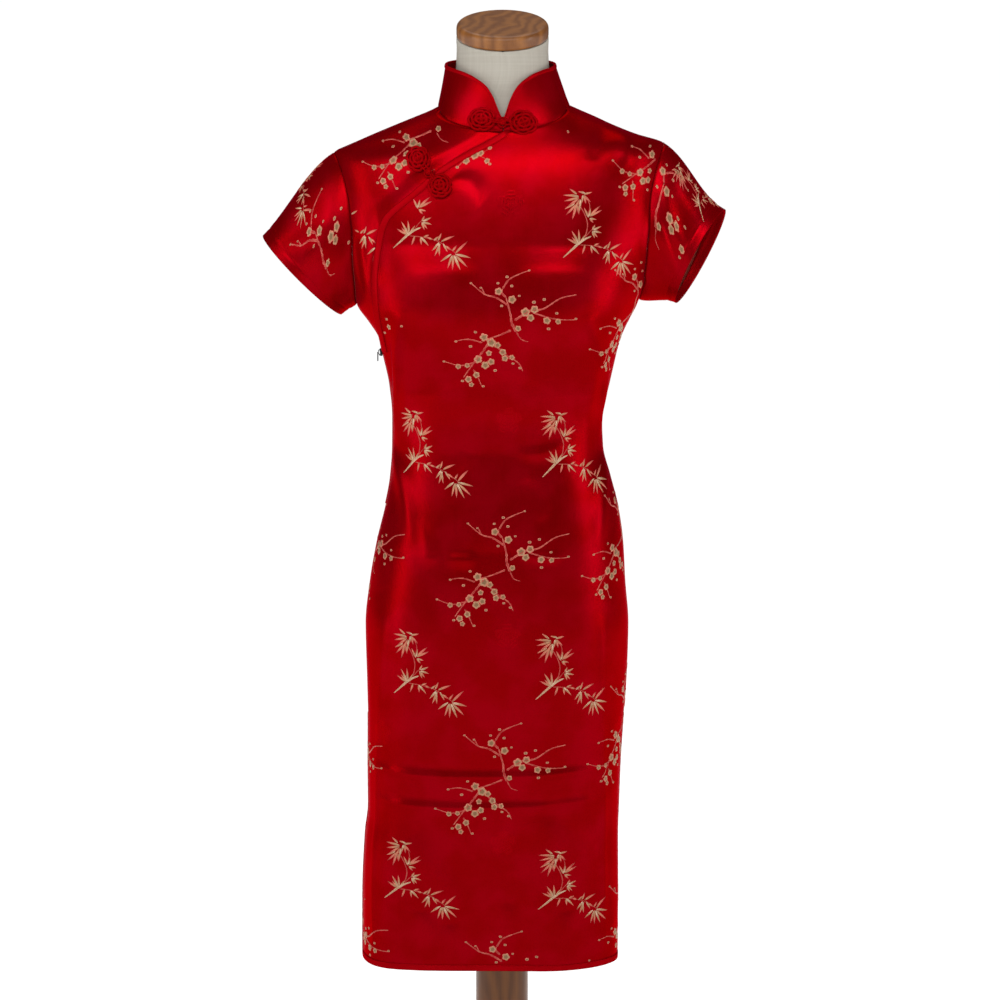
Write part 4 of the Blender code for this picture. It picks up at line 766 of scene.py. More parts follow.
def makePanel(name, side, grids, edges, depth=0.0, **more):
    # Outer face on the worn cloth, and an inner face a wall's thickness along the normal below it.
    across, z = grids
    outer = clothPoint(side, across, z, seamRoll(side, grids, edges) - depth)
    atSeam = ease(0.985, 0.998, np.abs(across))[..., None]
    inner = outer - unit(gridNormals(outer, -side) * (1 - atSeam)
            + bareBody(side, across, z)[1] * atSeam) * cloth["wall"]
    uv = np.stack([across * halfLength(side, z), z], axis=-1)
    made = shell(name, outer, inner, satin, reverse, uv=uv, flip=side > 0, slot="satin", **more)
    return made, outer


backColumns = crowded(124)
backEdges = [sideEdge(back, hand) for hand in (left, right)]
backHalves = [neckline(back, hand, np.abs(backColumns * 2 - 1)) for hand in (left, right)]
backTop = [np.where(backColumns < 0.5, backHalves[0][part], backHalves[1][part]) for part in range(2)]
backZ = (backEdges[0][1] + backEdges[1][1]) / 2
backGrids = fillGrid(*backEdges, backTop, backColumns, ease(cloth["topBend"], backZ[-1], backZ))
backCloth, backOuter = makePanel("back_cloth", back, backGrids, ("left", "right"), replaces=["back_panel"])

frontColumns = crowded(124)
rightEdge = sideEdge(front, right)
underarmLeft, underarmRight = armHeights[left][0], armHeights[right][0]
openingZ = np.interp(rightEdge[1], [396, 1164, underarmRight, armHeights[right][2]],
        [396, 1164, underarmLeft, neckEdge[front]])
openEdge = acrossAt(front, placketX(openingZ), openingZ)
seamEdge = left * (1 - slitGap(front, left, openingZ) / halfLength(front, openingZ))
frontLeft = [np.where(openingZ > cloth["zipTop"], openEdge, seamEdge), openingZ]
frontTop = list(neckline(front, right, np.abs(frontColumns)))
frontTop = [top + (edge[-1] - top[0]) * (1 - frontColumns) ** 5 for edge, top in zip(frontLeft, frontTop)]
frontGrids = fillGrid(frontLeft, rightEdge, frontTop, frontColumns,
        ease(cloth["topBend"], rightEdge[1][-1], rightEdge[1]))
frontCloth, frontOuter = makePanel("front_cloth", front, frontGrids, ("right",), replaces=["front_panel"])

lowUnder = 1117.0
underLeft = sideEdge(front, left, lowUnder)
keep = np.arange(len(underLeft[1]))
keep = keep[(keep >= rowCounts["skirt"]) | (keep % 10 == 0)]
underLeft = [part[keep] for part in underLeft]
underZ = np.interp(underLeft[1], [lowUnder, underarmLeft, armHeights[left][2]],
        [lowUnder, underarmLeft, neckEdge[front]])
lap = cloth["underlap"] * ease(lowUnder - 20.0, lowUnder + 60.0, underZ)
underRight = [acrossAt(front, placketX(underZ) + lap, underZ), underZ]
underColumns = crowded(56, 0.01)
underTop = list(neckline(front, left, 1 - underColumns))
underTop = [top + (edge[-1] - top[-1]) * underColumns ** 5 for edge, top in zip(underRight, underTop)]
underGrids = fillGrid(underLeft, underRight, underTop, underColumns,
        ease(cloth["topBend"] - 40.0, underLeft[1][-1], underLeft[1]))
underX = bareBody(front, *underGrids)[0]
underDepth = 1.8 * ease(-28.0, -3.0, underX[..., 0] - placketX(underX[..., 2]))
underCloth, underOuter = makePanel("under_front_cloth", front, underGrids, ("left",), underDepth,
        replaces=["under_front_panel"])

print("sleeves")

# top x and z, bottom x and z, depth, turn, slopes of the top and underside in degrees
sleeveSizes = {
    left: (-278, 1257, -187, 1165, 46, -4, -33, -40),
    right: (259, 1287, 203, 1178, 47, 15, -30, -20),
}
hemBand = 11.0
# ring degrees and share at both ends, width in degrees and share, rise
sleeveCreases = {
    left: [
      ((118, 0.05), (92, 0.95), 9, 1.7), ((150, 0.15), (160, 0.9), 8, 1.0), ((74, 0.05), (60, 0.9), 9, 1.5),
      ((40, 0.05), (36, 0.8), 8, -1.4), ((100, 0.3), (128, 0.95), 6, -0.9), ((250, 0.1), (262, 0.9), 9, 1.5),
      ((300, 0.1), (306, 0.9), 9, 1.2), ((215, 0.1), (206, 0.9), 8, -1.0)],
    right: [
      ((120, 0.05), (78, 0.97), 8, 1.9), ((96, 0.02), (58, 0.95), 7, 1.6), ((142, 0.1), (118, 0.95), 8, 1.2),
      ((108, 0.1), (66, 0.95), 5, -1.2), ((60, 0.05), (34, 0.8), 8, -1.3), ((250, 0.1), (266, 0.9), 9, 1.4),
      ((300, 0.1), (310, 0.9), 9, 1.3), ((212, 0.1), (204, 0.9), 8, -1.0)],
}
ringCount = 144


def armholeRing(hand):
    # Up the front edge of the armhole, then down the back edge.
    angle = np.linspace(0, math.pi, ringCount // 2 + 1)
    frontEdge, backEdge = armhole(front, hand, angle), armhole(back, hand, angle[-2:0:-1])
    point = np.concatenate([clothPoint(front, *frontEdge), clothPoint(back, *backEdge)])
    normal = np.concatenate([bareBody(front, *frontEdge)[1], bareBody(back, *backEdge)[1]])
    return point, normal


def sleeveSurface(hand, shares, creased=True):
    # Each line is a cubic Hermite curve from the armhole to the tilted hem oval, plus bells for creases.
    topX, topZ, bottomX, bottomZ, depth, turn, topSlope, underSlope = sleeveSizes[hand]
    angle = circle(ringCount)
    middle = np.array([(topX + bottomX) / 2, 2.0, (topZ + bottomZ) / 2])
    longHalf = np.array([(topX - bottomX) / 2, 0.0, (topZ - bottomZ) / 2])
    opens = unit(np.array([hand * abs(longHalf[2]), 0.0, -abs(longHalf[0])]))
    deep = np.array([0.0, math.cos(math.radians(turn)), 0.0]) + opens * math.sin(math.radians(turn))
    hemRing = middle - longHalf * np.cos(angle)[:, None] - deep * depth * np.sin(angle)[:, None]
    opens = unit(np.cross(longHalf, deep)) * -hand
    start, bodyNormal = armholeRing(hand)
    slope = np.radians(underSlope + (topSlope - underSlope) * (1 - np.cos(angle)) / 2)
    leave = unit(np.stack([hand * np.cos(slope), -np.sin(angle) * 0.28, np.sin(slope)], axis=-1))
    edge = unit(np.roll(start, -1, axis=0) - np.roll(start, 1, axis=0))
    sleeveNormal = unit(np.cross(edge, leave)) * hand
    sleeveNormal *= np.sign((sleeveNormal * (start - start.mean(axis=0))).sum(axis=-1, keepdims=True))
    shared = unit(bodyNormal + sleeveNormal)
    out = unit(np.cross(edge, shared))
    out *= np.sign((out * leave).sum(axis=-1, keepdims=True))
    start = start - out * cloth["seamTuck"]
    reach = np.linalg.norm(hemRing - start, axis=-1, keepdims=True)
    t = np.asarray(shares, float)[:, None, None]
    point = (1 + 2 * t) * (1 - t) ** 2 * start + t * t * (3 - 2 * t) * hemRing
    point = point + t * (1 - t) ** 2 * leave * reach - t * t * (1 - t) * opens * reach
    around = np.roll(point, -1, axis=1) - np.roll(point, 1, axis=1)
    normal = unit(np.cross(around, np.gradient(point, axis=0)))
    normal *= np.sign((normal * (point - point.mean(axis=1, keepdims=True))).sum(axis=(1, 2), keepdims=True))
    if creased:
        degrees = np.degrees(angle)[None, :]
        t = t[..., 0]
        rise = -(cloth["seamDip"] + 0.6) * np.exp(-((t * reach[None, :, 0] / cloth["seamRoll"]) ** 2))
        for (fromAngle, fromShare), (toAngle, toShare), wide, high in sleeveCreases[hand]:
            along = (t - fromShare) / (toShare - fromShare)
            middleAngle = fromAngle + (toAngle - fromAngle) * np.clip(along, 0, 1)
            fade = ease(-0.05, 0.3, along) * ease(1.15, 0.7, along)
            rise = rise + high * np.exp(-(((degrees - middleAngle) / wide) ** 2) / 2) * fade
        rise = rise - 0.5 * np.exp(-(((1 - t) * reach[None, :, 0] - hemBand) / 1.6) ** 2)
        point = point + normal * rise[..., None]
    return point, normal


sleeveShares = np.concatenate([[0.0, 0.012, 0.024, 0.04], np.linspace(0.06, 0.94, 66),
        [0.96, 0.975, 0.99, 1.0]])
sleeves, sleeveBands = {}, {}
for hand, word in ((left, "left"), (right, "right")):
    outer, normal = sleeveSurface(hand, sleeveShares)
    degrees = np.linspace(0, 360, ringCount, endpoint=False)
    girth = np.linalg.norm(np.roll(outer, -1, axis=1) - outer, axis=-1).sum(axis=1)[:, None]
    steps = np.linalg.norm(np.diff(outer, axis=0), axis=-1)
    run = np.concatenate([np.zeros((1, ringCount)), steps.cumsum(axis=0)])
    uv = np.stack(np.broadcast_arrays(degrees[None, :] / 360 * girth.mean() + 400 * hand, run), axis=-1)
    sleeves[hand] = shell(f"sleeve_cloth_{word}", outer, outer - normal * cloth["wall"], satin, reverse,
            uv=uv, roundColumns=True, flip=hand > 0, slot="satin", replaces=[f"sleeve_{word}"])
    bandShares = 1 - np.linspace(hemBand / 70.0, 0.0, 10)
    band, normal = sleeveSurface(hand, bandShares)
    band = band - normal * (cloth["wall"] + 0.15)
    uv = np.stack([np.broadcast_to(degrees / 360 * 300, band.shape[:2]),
            np.broadcast_to(np.linspace(0, 11, 10)[:, None], band.shape[:2])], axis=-1)
    sleeveBands[hand] = shell(f"sleeve_band_{word}", band, band - normal * 1.25, trimSatin, trimSatin, uv=uv,
            roundColumns=True, flip=hand > 0, slot="satin", replaces=[f"sleeve_hem_{word}"])

print("woven figures")

figureScale = 1.18                     # millimetres in one unit of the two designs below
plumScale = np.array([1.12, 1.01])     # the same for the plum sprays, across and up
# branches as (start width, end width, points); flowers and buds as (x, z, radius)
plumBranches = [
    (2.2, 1, [(6, -8), (2, 2), (1, 12), (-4, 30)]), (1.6, 0.7, [(-2, 22), (-14, 30), (-26, 34), (-40, 46)]),
    (1, 0.6, [(-26, 34), (-29, 41)]), (1.5, 0.6, [(-8, 40), (-2, 50), (8, 56), (18, 60)]),
    (1.6, 1, [(-4, 30), (-9, 36), (-8, 40)]), (1.7, 0.7, [(5, 5), (20, 15), (34, 18), (50, 29), (66, 33)]),
    (1.2, 0.6, [(25, 13), (40, 8), (52, 6), (66, 6)]), (1.5, 0.7, [(1, -6), (-12, -12), (-24, -16)]),
    (1.8, 0.7, [(-20, -16), (-29, -30), (-39, -44), (-49, -60)]),
    (1.2, 0.5, [(-36, -42), (-52, -46), (-68, -41)]),
    (1.2, 0.5, [(-29, -20), (-43, -16), (-57, -18)]), (1.4, 0.6,
    [(-17, -22), (-7, -33), (6, -43), (11, -53)]),
    (1.1, 0.5, [(-39, -51), (-34, -61), (-30, -71)]), (0.9, 0.5, [(6, -8), (10, -16), (17, -19)]),
]
plumFlowers = [
    (-12, 37, 4.4), (2, 28, 4.6), (16, 14, 5.2), (25, 17, 4.6), (21, 8, 4.2), (37, 5, 4.2), (48, 4, 3.2),
    (-27, -14, 4.8), (-20, -20, 5.4), (-14, -23, 3.8), (-9, -31, 4), (-7, -38, 3.8), (0, -37, 3.2),
    (-34, -39, 4.8), (-27, -46, 4.6), (-21, -42, 4), (-23, -32, 3.4), (-45, -46, 3), (-54, -47, 3.2),
    (-36, -57, 3.8), (-44, -62, 4), (-41, -68, 3), (8, -4, 3.4),
]
plumBuds = [
    (-4, 53, 1.9), (-13, 46, 1.7), (1, 43, 1.9), (-8, 21, 1.8), (9, 32, 1.5), (34, 28, 1.9), (24, 25, 2.2),
    (47, 13, 1.8), (38, -4, 2), (66, 7, 1.6), (-35, -8, 1.8), (-41, -24, 2), (1, -44, 1.7), (8, -49, 1.9),
    (-17, -52, 2), (-50, -64, 1.8), (-29, -70, 1.7), (-55, -18, 1.6), (-68, -41, 1.5), (18, 60, 1.4),
    (-30, 41, 1.4), (-40, 46, 1.4),
]
bambooStems = [
    (1.3, 1, [(-15, -6), (-13, 6), (-16, 16), (-22, 26), (-24, 32)]),
    (1, 0.7, [(-13, 14), (-11, 24), (-15, 33)]),
    (0.9, 0.7, [(-15, -6), (-10, 0), (-5, 4)]), (1, 3.2, [(-37, -25), (-30, -19), (-22, -12)]),
    (3, 1.6, [(-23, -13), (-16, -8), (-9, -5)]), (1.1, 0.7, [(-20, -13), (-8, -14), (6, -17), (20, -25),
    (27, -31)]),
]
# leaves as (base x, base z, degrees, length)
bambooLeaves = [
    (-22, 33, 172, 15), (-22, 32, 196, 16), (-22, 31, 216, 15), (-21, 30, 238, 15), (-20, 30, 262, 13),
    (-24, 35, 140, 9), (-26, 26, 205, 12), (-25, 25, 228, 13), (-24, 24, 250, 13), (-23, 24, 275, 8),
    (-17, 35, 10, 9), (-17, 34, 285, 9), (-17, 34, 312, 10), (-16, 36, 165, 7), (-18, 34, 265, 8),
    (-11, 14, 25, 14), (-11, 14, 48, 14), (-12, 14, 72, 8), (-12, 13, 118, 10), (-11, 12, 352, 7),
    (-11, 12, 310, 6),
    (-8, 1, 62, 6), (-7, 1, 22, 9), (-7, 0, 350, 9), (-8, 0, 312, 8), (-8, 0, 285, 7),
    (-22, -11, 116, 14), (-21, -11, 90, 13), (-23, -12, 152, 11), (-22, -12, 135, 10), (-20, -11, 55, 9),
    (-15, -13, 252, 9), (-9, -14, 272, 8), (-9, -14, 318, 11), (-6, -14, 25, 6), (2, -16, 160, 6),
    (8, -17, 62, 8), (11, -18, 28, 15), (9, -19, 232, 10), (10, -20, 248, 13), (9, -20, 270, 12),
    (13, -20, 300, 9),
    (4, -17, 40, 6), (15, -22, 330, 8), (25, -29, 48, 17), (25, -30, 350, 15), (25, -31, 318, 17),
    (24, -31, 292, 15),
    (23, -31, 270, 14), (21, -30, 212, 13), (22, -31, 252, 13), (22, -27, 55, 7),
]
leafWidth = 2.7


def smoothPath(points, step):
    # Catmull-Rom curve through the points, read about once each step.
    points = np.asarray(points, float)
    padded = np.concatenate([2 * points[:1] - points[1:2], points, 2 * points[-1:] - points[-2:-1]])
    a, b, c, d = (padded[k:len(padded) - 3 + k, None] for k in range(4))
    count = max(2, int(np.linalg.norm(np.diff(points, axis=0), axis=1).mean() / step))
    t = np.linspace(0, 1, count, endpoint=False)[None, :, None]
    curve = 0.5 * (2 * b + (c - a) * t + (2 * a - 5 * b + 4 * c - d) * t ** 2
            + (3 * b - a - 3 * c + d) * t ** 3)
    return np.concatenate([curve.reshape(-1, points.shape[1]), points[-1:]])


def ribbonShape(path, halfWidth, tone, crown=0.34):
    # Domed strip: a section of skirt, shoulder, crown, shoulder, skirt and underside, along a flat path.
    ahead = unit(np.gradient(path, axis=0))
    sideways = np.stack([ahead[:, 1], -ahead[:, 0]], axis=-1)
    wide = np.array([-1.0, -0.62, 0.0, 0.62, 1.0, 0.0])
    high = np.array([-0.3, crown * 0.7, crown, crown * 0.7, -0.3, -0.42])
    flat = path[:, None] + sideways[:, None] * (np.asarray(halfWidth)[:, None] * wide)[..., None]
    rings = np.concatenate([flat, np.broadcast_to(high[None, :, None], (len(path), 6, 1))], axis=-1)
    tones = tone[:, None] + np.array([-0.1, 0.02, -0.16, 0.02, -0.1, 0.0])[None, :]
    return *roundStack(rings), tones.ravel()


def flowerShape(x, z, radius, turn, tone, petals=5, around=25):
    # Five-petalled round: edge radius R (0.68 + 0.32 |cos 2.5 angle|^0.6), domed, with its eye sunk a little.
    # Tones above 1 mark the eye, which the thread's material paints dark brown as painted shade, the shadow
    # of the sunk heart.
    angle = circle(around)
    edge = radius * (0.68 + 0.32 * np.abs(np.cos(petals * angle / 2 + turn)) ** 0.6)
    share = np.array([0.34, 0.72, 0.95, 1.0])[:, None]
    high = np.array([0.22, 0.42, 0.3, -0.3])[:, None] * np.ones(around)
    rings = np.stack([x + edge * share * np.cos(angle), z + edge * share * np.sin(angle), high], axis=-1)
    points, faces = roundStack(rings, [[x, z, 0.4], [x, z, -0.42]])
    crease = 1 - np.abs(np.cos(petals * angle / 2 + turn)) ** 0.5
    dark = np.array([0.0, 0.08, 0.14, 0.1])[:, None]
    tones = np.array([4.6, 0.56, 0.42, 0.34])[:, None] + tone * 0.5 - crease * dark
    return points, faces, np.concatenate([tones.ravel(), [3.6 + tone * 0.5, 0.5]])


def gather(shapes):
    # Shapes as one design: points, faces by corner count, tones, and which shape each point is in.
    points, faces = join([(shape[0], shape[1]) for shape in shapes])
    number = np.repeat(np.arange(len(shapes)), [len(shape[0]) for shape in shapes])
    return points, faces, np.concatenate([shape[2] for shape in shapes]), number


def plumDesign():
    # Branches taper and swell by a product of two sines, and flowers and buds sit on them.
    shuffle = np.random.default_rng(11)
    shapes = []
    for start, end, points in plumBranches:
        path = smoothPath(np.array(points, float) * plumScale, 1.5)
        share = np.linspace(0, 1, len(path))
        knobbly = 1 + 0.34 * np.sin(share * len(path) * 1.7) * np.sin(share * 9.0 + start)
        width = (start + (end - start) * share) * knobbly * 0.9
        width[[0, -1]] *= 0.35
        shapes.append(ribbonShape(path, width, 0.14 + 0.14 * share + 0.06 * np.sin(share * 14)))
    for x, z, radius in plumFlowers:
        tone, turn = shuffle.uniform(-0.14, 0.14), shuffle.uniform(0, 6)
        shapes.append(flowerShape(x * plumScale[0], z * plumScale[1], radius * 1.06, turn, tone))
    for x, z, radius in plumBuds:
        shapes.append(flowerShape(x * plumScale[0], z * plumScale[1], radius * 1.05, 0.0, -0.22, 2, 12))
    return gather(shapes)


def bambooDesign():
    # Thin stems under fans of pointed leaves.
    shuffle = np.random.default_rng(5)
    shapes = []
    for start, end, points in bambooStems:
        path = smoothPath(np.array(points, float) * figureScale, 1.7)
        share = np.linspace(0, 1, len(path))
        width = (start + (end - start) * share) * 0.58
        width[[0, -1]] *= 0.4
        tone = 0.2 + 0.62 * np.clip((start + end) / 2 - 1.2, 0, 1)
        shapes.append(ribbonShape(path, width, np.full(len(path), tone)))
    for x, z, degrees, length in bambooLeaves:
        # width (sin(pi t^0.75))^0.8, bent a little sideways; cream at the base, salmon at the tip
        t = np.array([0.0, 0.1, 0.25, 0.42, 0.62, 0.82, 1.0])
        direction = math.radians(degrees)
        bend = shuffle.uniform(-0.1, 0.1) * length
        along, side = t * length * shuffle.uniform(0.92, 1.06), bend * t * t
        path = np.stack([x + along * math.cos(direction) - side * math.sin(direction),
                z + along * math.sin(direction) + side * math.cos(direction)], axis=-1) * figureScale
        width = leafWidth / 2 * figureScale * (0.72 + length / 48) * np.sin(np.pi * t ** 0.75) ** 0.8
        width[0], width[-1] = 0.25, 0.1
        shapes.append(ribbonShape(path, width, shuffle.uniform(0.62, 1.0) - 0.55 * t))
    return gather(shapes)


def sprigDesign():
    # The low end of a plum branch, where the neckline cuts the rest away.
    shapes = []
    for start, end, points in (
            (1.1, 0.5, [(-16, -8), (-10, -2), (0, 2), (9, -1), (14, -5)]), (0.8, 0.5, [(0, 2), (9, 8)])):
        path = smoothPath(np.array(points, float) * figureScale, 1.7)
        shapes.append(ribbonShape(path, np.linspace(start, end, len(path)) * 0.6, np.full(len(path), 0.2)))
    for x, z, radius in ((-9, -3, 3.6), (-2, 2, 4.0), (3, 4, 3.2), (11, -3, 3.0)):
        shapes.append(flowerShape(x * figureScale, z * figureScale, radius * figureScale, x, 0.02))
    for x, z, radius in ((-17, -9, 1.8), (10, 9, 2.2), (14, -6, 1.6)):
        shapes.append(flowerShape(x * figureScale, z * figureScale, radius * figureScale, 0.0, -0.34, 2, 12))
    return gather(shapes)


designs = {"plum": plumDesign(), "bamboo": bambooDesign(), "sprig": sprigDesign()}


def stampFigures(name, surface, inside, placements):
    # Each placement is (design, u, height, degrees, scale). A shape that leaves its panel is left out whole.
    parts = []
    for design, u, z, degrees, scale in placements:
        points, faces, tone, number = designs[design]
        c, s = math.cos(math.radians(degrees)) * scale, math.sin(math.radians(degrees)) * scale
        x, y = points[:, 0], points[:, 1]
        flat = np.stack([u + x * c - y * s, z + x * s + y * c], axis=-1)
        whole = np.bincount(number, ~inside(flat[:, 0], flat[:, 1])) == 0
        kept = whole[number]
        if kept.any():
            renumber = kept.cumsum() - 1
            placed = surface(flat[kept, 0], flat[kept, 1], points[kept, 2])
            rows = np.concatenate([placed, flat[kept], tone[kept][:, None]], axis=1)
            parts.append((rows, [renumber[part[kept[part[:, 0]]]] for part in faces]))
    points, faces = join(parts)
    return addMesh(name, points[:, :3], faces, thread, uv=points[:, 3:5], tone=points[:, 5])


def panelInside(side, grids, margins):
    # True where (u, height) lies in the panel, with the margins left, right, top and bottom in millimetres.
    across, z = grids

    def inside(u, height):
        half = halfLength(side, height)
        place = u / half
        low = np.interp(height, z[:, 0], across[:, 0]) + margins[0] / half
        high = np.interp(height, z[:, -1], across[:, -1]) - margins[1] / half
        ceiling = np.interp(place, across[-1], z[-1]) - margins[2]
        return (place > low) & (place < high) & (height < ceiling) & (height > cloth["hem"] + margins[3])
    return inside


def panelSurface(side, depth=None):
    # Cloth at (u, height), raised along its normal, or lowered where a panel lies under another.
    def surface(u, z, height):
        across = u / halfLength(side, z)
        point, normal = clothPoint(side, across, z), clothNormal(side, across, z)
        down = 0.0 if depth is None else depth(point[..., 0], z)
        return point + normal * (height - down)[..., None]
    return surface


def fromViewer(side, placements):
    # (design, across, height, degrees, scale) to the flat length u that the surface works with.
    return [(design, across * halfLength(side, z), z, degrees, scale)
            for design, across, z, degrees, scale in placements]


frontPlaces = [("plum", across, z, 0, 1) for across, z in (
    (0.065, 1163), (0.03, 887), (0.04, 641), (0.075, 385), (-0.865, 1155), (-0.925, 883), (-0.985, 632),
    (-0.86, 410), (0.81, 1176), (0.88, 912), (0.86, 690), (0.87, 446))]
frontPlaces += [("plum", 0.96, 1352, -24, 1), ("sprig", -0.125, 1349, 0, 1),
        ("sprig", 0.44, 1392, 100, 0.8)]
frontPlaces += [("bamboo", across, z, 0, 1) for across, z in (
    (0.5, 1267), (-0.34, 1277), (-0.455, 1015), (0.54, 1015), (-0.37, 761), (0.405, 759), (-0.37, 513),
    (0.445, 503))]
underPlaces = [("plum", -0.56, 1385, 0, 1.0), ("bamboo", -0.74, 1283, 0, 1.0)]
backPlaces = [(kind, across, height, 0, 1.0) for kind, heights, places in (
    ("plum", (1410, 1163, 917, 670, 424), (0.02,)), ("plum", (1150, 904, 657, 411), (-0.78, 0.76)),
    ("bamboo", (1287, 1040, 793, 547), (-0.4, 0.42))) for height in heights for across in places]

stampFigures("figures_front", panelSurface(front),
        panelInside(front, frontGrids, (7, 3, 4, 7)), fromViewer(front, frontPlaces))
stampFigures("figures_under_front",
        panelSurface(front, lambda x, z: 1.8 * ease(-28.0, -3.0, x - placketX(z))),
        panelInside(front, underGrids, (3, cloth["underlap"] + 1, 4, 7)),
        fromViewer(front, underPlaces))
backInside = panelInside(back, backGrids, (4, 4, 4, 7))
backSurface = panelSurface(back)
stampFigures("figures_back", lambda u, z, height: backSurface(-u, z, height),
        lambda u, z: backInside(-u, z), fromViewer(back, backPlaces))

print("collar")

collar = {"middleX": -2.4, "middleY": 2.0, "halfWidth": 62.5, "halfDepth": 59.0, "height": 50.0, "wall": 1.4,
        "seam": -0.5, "binding": 3.2, "gap": 0.5}
collarTop = np.array([(0, 1391), (4, 1402), (9, 1416), (16, 1428), (24, 1435), (40, 1443), (62, 1449),
        (90, 1454),
        (135, 1459), (180, 1461)], float)


def neckRing():
    # The whole neckline, from the middle of the front round by the left.
    share = np.linspace(0.0, 1.0, 33)
    return np.concatenate([clothPoint(front, *neckline(front, left, share)),
            clothPoint(back, *neckline(back, left, share[::-1][1:])),
            clothPoint(back, *neckline(back, right, share[1:])),
            clothPoint(front, *neckline(front, right, share[::-1][1:]))])


neckPoints = neckRing()


def collarPoint(angle, share):
    # Stand collar: leans from the neck ring to an oval as it rises; angle 0 is the middle of the front.
    angle, share = np.broadcast_arrays(np.asarray(angle, float), np.asarray(share, float))
    turn = np.degrees(np.arctan2(-(neckPoints[:, 0] - collar["middleX"] - 3.0),
            -(neckPoints[:, 1] - collar["middleY"]))) % 360
    turn[0], turn[-1] = 0.0, 360.0
    base = np.stack([np.interp(angle, turn, neckPoints[:, part]) for part in range(3)], axis=-1)
    radians = np.radians(angle)
    topX = collar["middleX"] - collar["halfWidth"] * np.sin(radians)
    topX = topX - collar["middleX"] * np.abs(np.cos(radians)) ** 3
    topY = collar["middleY"] - collar["halfDepth"] * np.cos(radians)
    topZ = curveThrough(collarTop[:, 0], collarTop[:, 1], np.minimum(angle, 360 - angle))
    height = (topZ - base[..., 2]) * share
    lean = np.clip(height / collar["height"], 0.0, 1.1)
    return np.stack([base[..., 0] + (topX - base[..., 0]) * lean, base[..., 1] + (topY - base[..., 1]) * lean,
            base[..., 2] + collar["seam"] + height], axis=-1)


def collarNormal(angle, share):
    # Normal from small steps round and up the collar.
    along = collarPoint(angle + 0.5, share) - collarPoint(angle - 0.5, share)
    up = collarPoint(angle, np.asarray(share) + 0.01) - collarPoint(angle, np.asarray(share) - 0.01)
    return unit(np.cross(up, along))


collarEnd = math.degrees(collar["gap"] / collar["halfDepth"])
collarAngles = np.concatenate([np.linspace(collarEnd, 30, 34)[:-1], np.linspace(30, 330, 150),
        np.linspace(330, 360 - collarEnd, 34)[1:]])
collarShares = np.linspace(0.0, 1.0, 34)[:, None]
collarOuter = collarPoint(collarAngles[None, :], collarShares)
collarOut = collarNormal(collarAngles[None, :], np.clip(collarShares, 0.02, 0.98))
# a slight hollow above the neck seam, and soft waves where the interlining gives
collarWave = (-0.6 * np.exp(-((collarShares * 48 / 2.0) ** 2))
        + 0.5 * np.sin(np.radians(collarAngles * 3.0 + 40))
        * np.sin(np.pi * collarShares) * ease(8, 30, np.minimum(collarAngles, 360 - collarAngles)))
collarOuter = collarOuter + collarOut * collarWave[..., None]
collarRun = np.radians(collarAngles[None, :]) * 62
collarUv = np.stack(np.broadcast_arrays(collarRun, collarShares * 50 + 1400), axis=-1)
collarCloth = shell("collar_cloth", collarOuter, collarOuter - collarOut * collar["wall"], satin, trimSatin,
        uv=collarUv, flip=True, slot="satin", replaces=["collar"])

print("bound edges")


def boundEdge(name, place, width, rise, wall, count, puckers=0.1, **more):
    # Folded bias strip round a raw edge: a closed section of inward distances and heights is carried along
    # the edge. place(distances) gives points and normals as (along, distance) grids on the cloth.
    reach = np.array([1, 1, 0.93, 0.75, 0.5, 0.25, 0.09, 0, 0, 0, 0.09, 0.25, 0.5, 0.75, 0.93, 1]) * width
    bulge = np.array([-0.3, 0.55, 0.85, 0.97, 1.0, 1.0, 0.95, 0.75, 0, 0, 0, 0, 0, 0, 0, 0]) * rise
    past = np.array([0, 0, 0, 0, 0, 0, 0.1, 0.55, 0.8, 0.55, 0.1, 0, 0, 0, 0, 0.0])
    under = np.array([0, 0, 0, 0, 0, 0, 0, 0, -0.5 * wall, 0.5, 0.7, 0.7, 0.7, 0.65, 0.55, -0.1])
    under[8:] += wall
    point, normal = place(reach)
    edgeIn = unit(place(np.array([2.0]))[0] - place(np.array([0.0]))[0])
    wave = 1 + puckers * np.sin(np.arange(count) * 1.9)[:, None] * np.sin(np.arange(count) * 0.37)[:, None]
    height = bulge[None, :] * wave - under[None, :]
    grid = point + normal * height[..., None] - edgeIn * past[None, :, None]
    run, reach = runLength(grid[:, 4])[:, None] * 0.7, reach[None, :] * 0.7
    uv = np.stack(np.broadcast_arrays(run + reach, reach - run), axis=-1)
    points, faces = roundStack(grid)
    return addMesh(name, points, faces, trimSatin, uv=uv.reshape(-1, 2), slot="trim_satin", **more)


def slitAndHem(side):
    # Edge path in flat distances: down the left slit, round the corner, along the hem, up the right slit.
    rise, corner, step = 292.0, 5.0, 3.0
    up = np.arange(corner, rise + step, step)
    bend = np.linspace(0, math.pi / 2, 7)[1:-1]
    half = halfLength(side, cloth["hem"])
    span = {hand: half - slitGap(side, hand, cloth["hem"]) for hand in (left, right)}
    rows = []
    for hand in (left, right):
        flat = np.zeros(int(span[hand] / step))
        reach = np.linspace(corner, span[hand], len(flat))
        away = np.concatenate([0 * up, corner - corner * np.cos(bend), reach])
        high = np.concatenate([up[::-1], corner - corner * np.sin(bend), flat])
        inX = np.concatenate([0 * up + 1, np.cos(bend), flat])
        inZ = np.concatenate([0 * up, np.sin(bend), flat + 1])
        piece = np.stack([np.full(len(away), hand), away, high, inX, inZ], axis=-1)
        rows.append(piece if hand == left else piece[::-1][1:])
    return np.concatenate(rows)


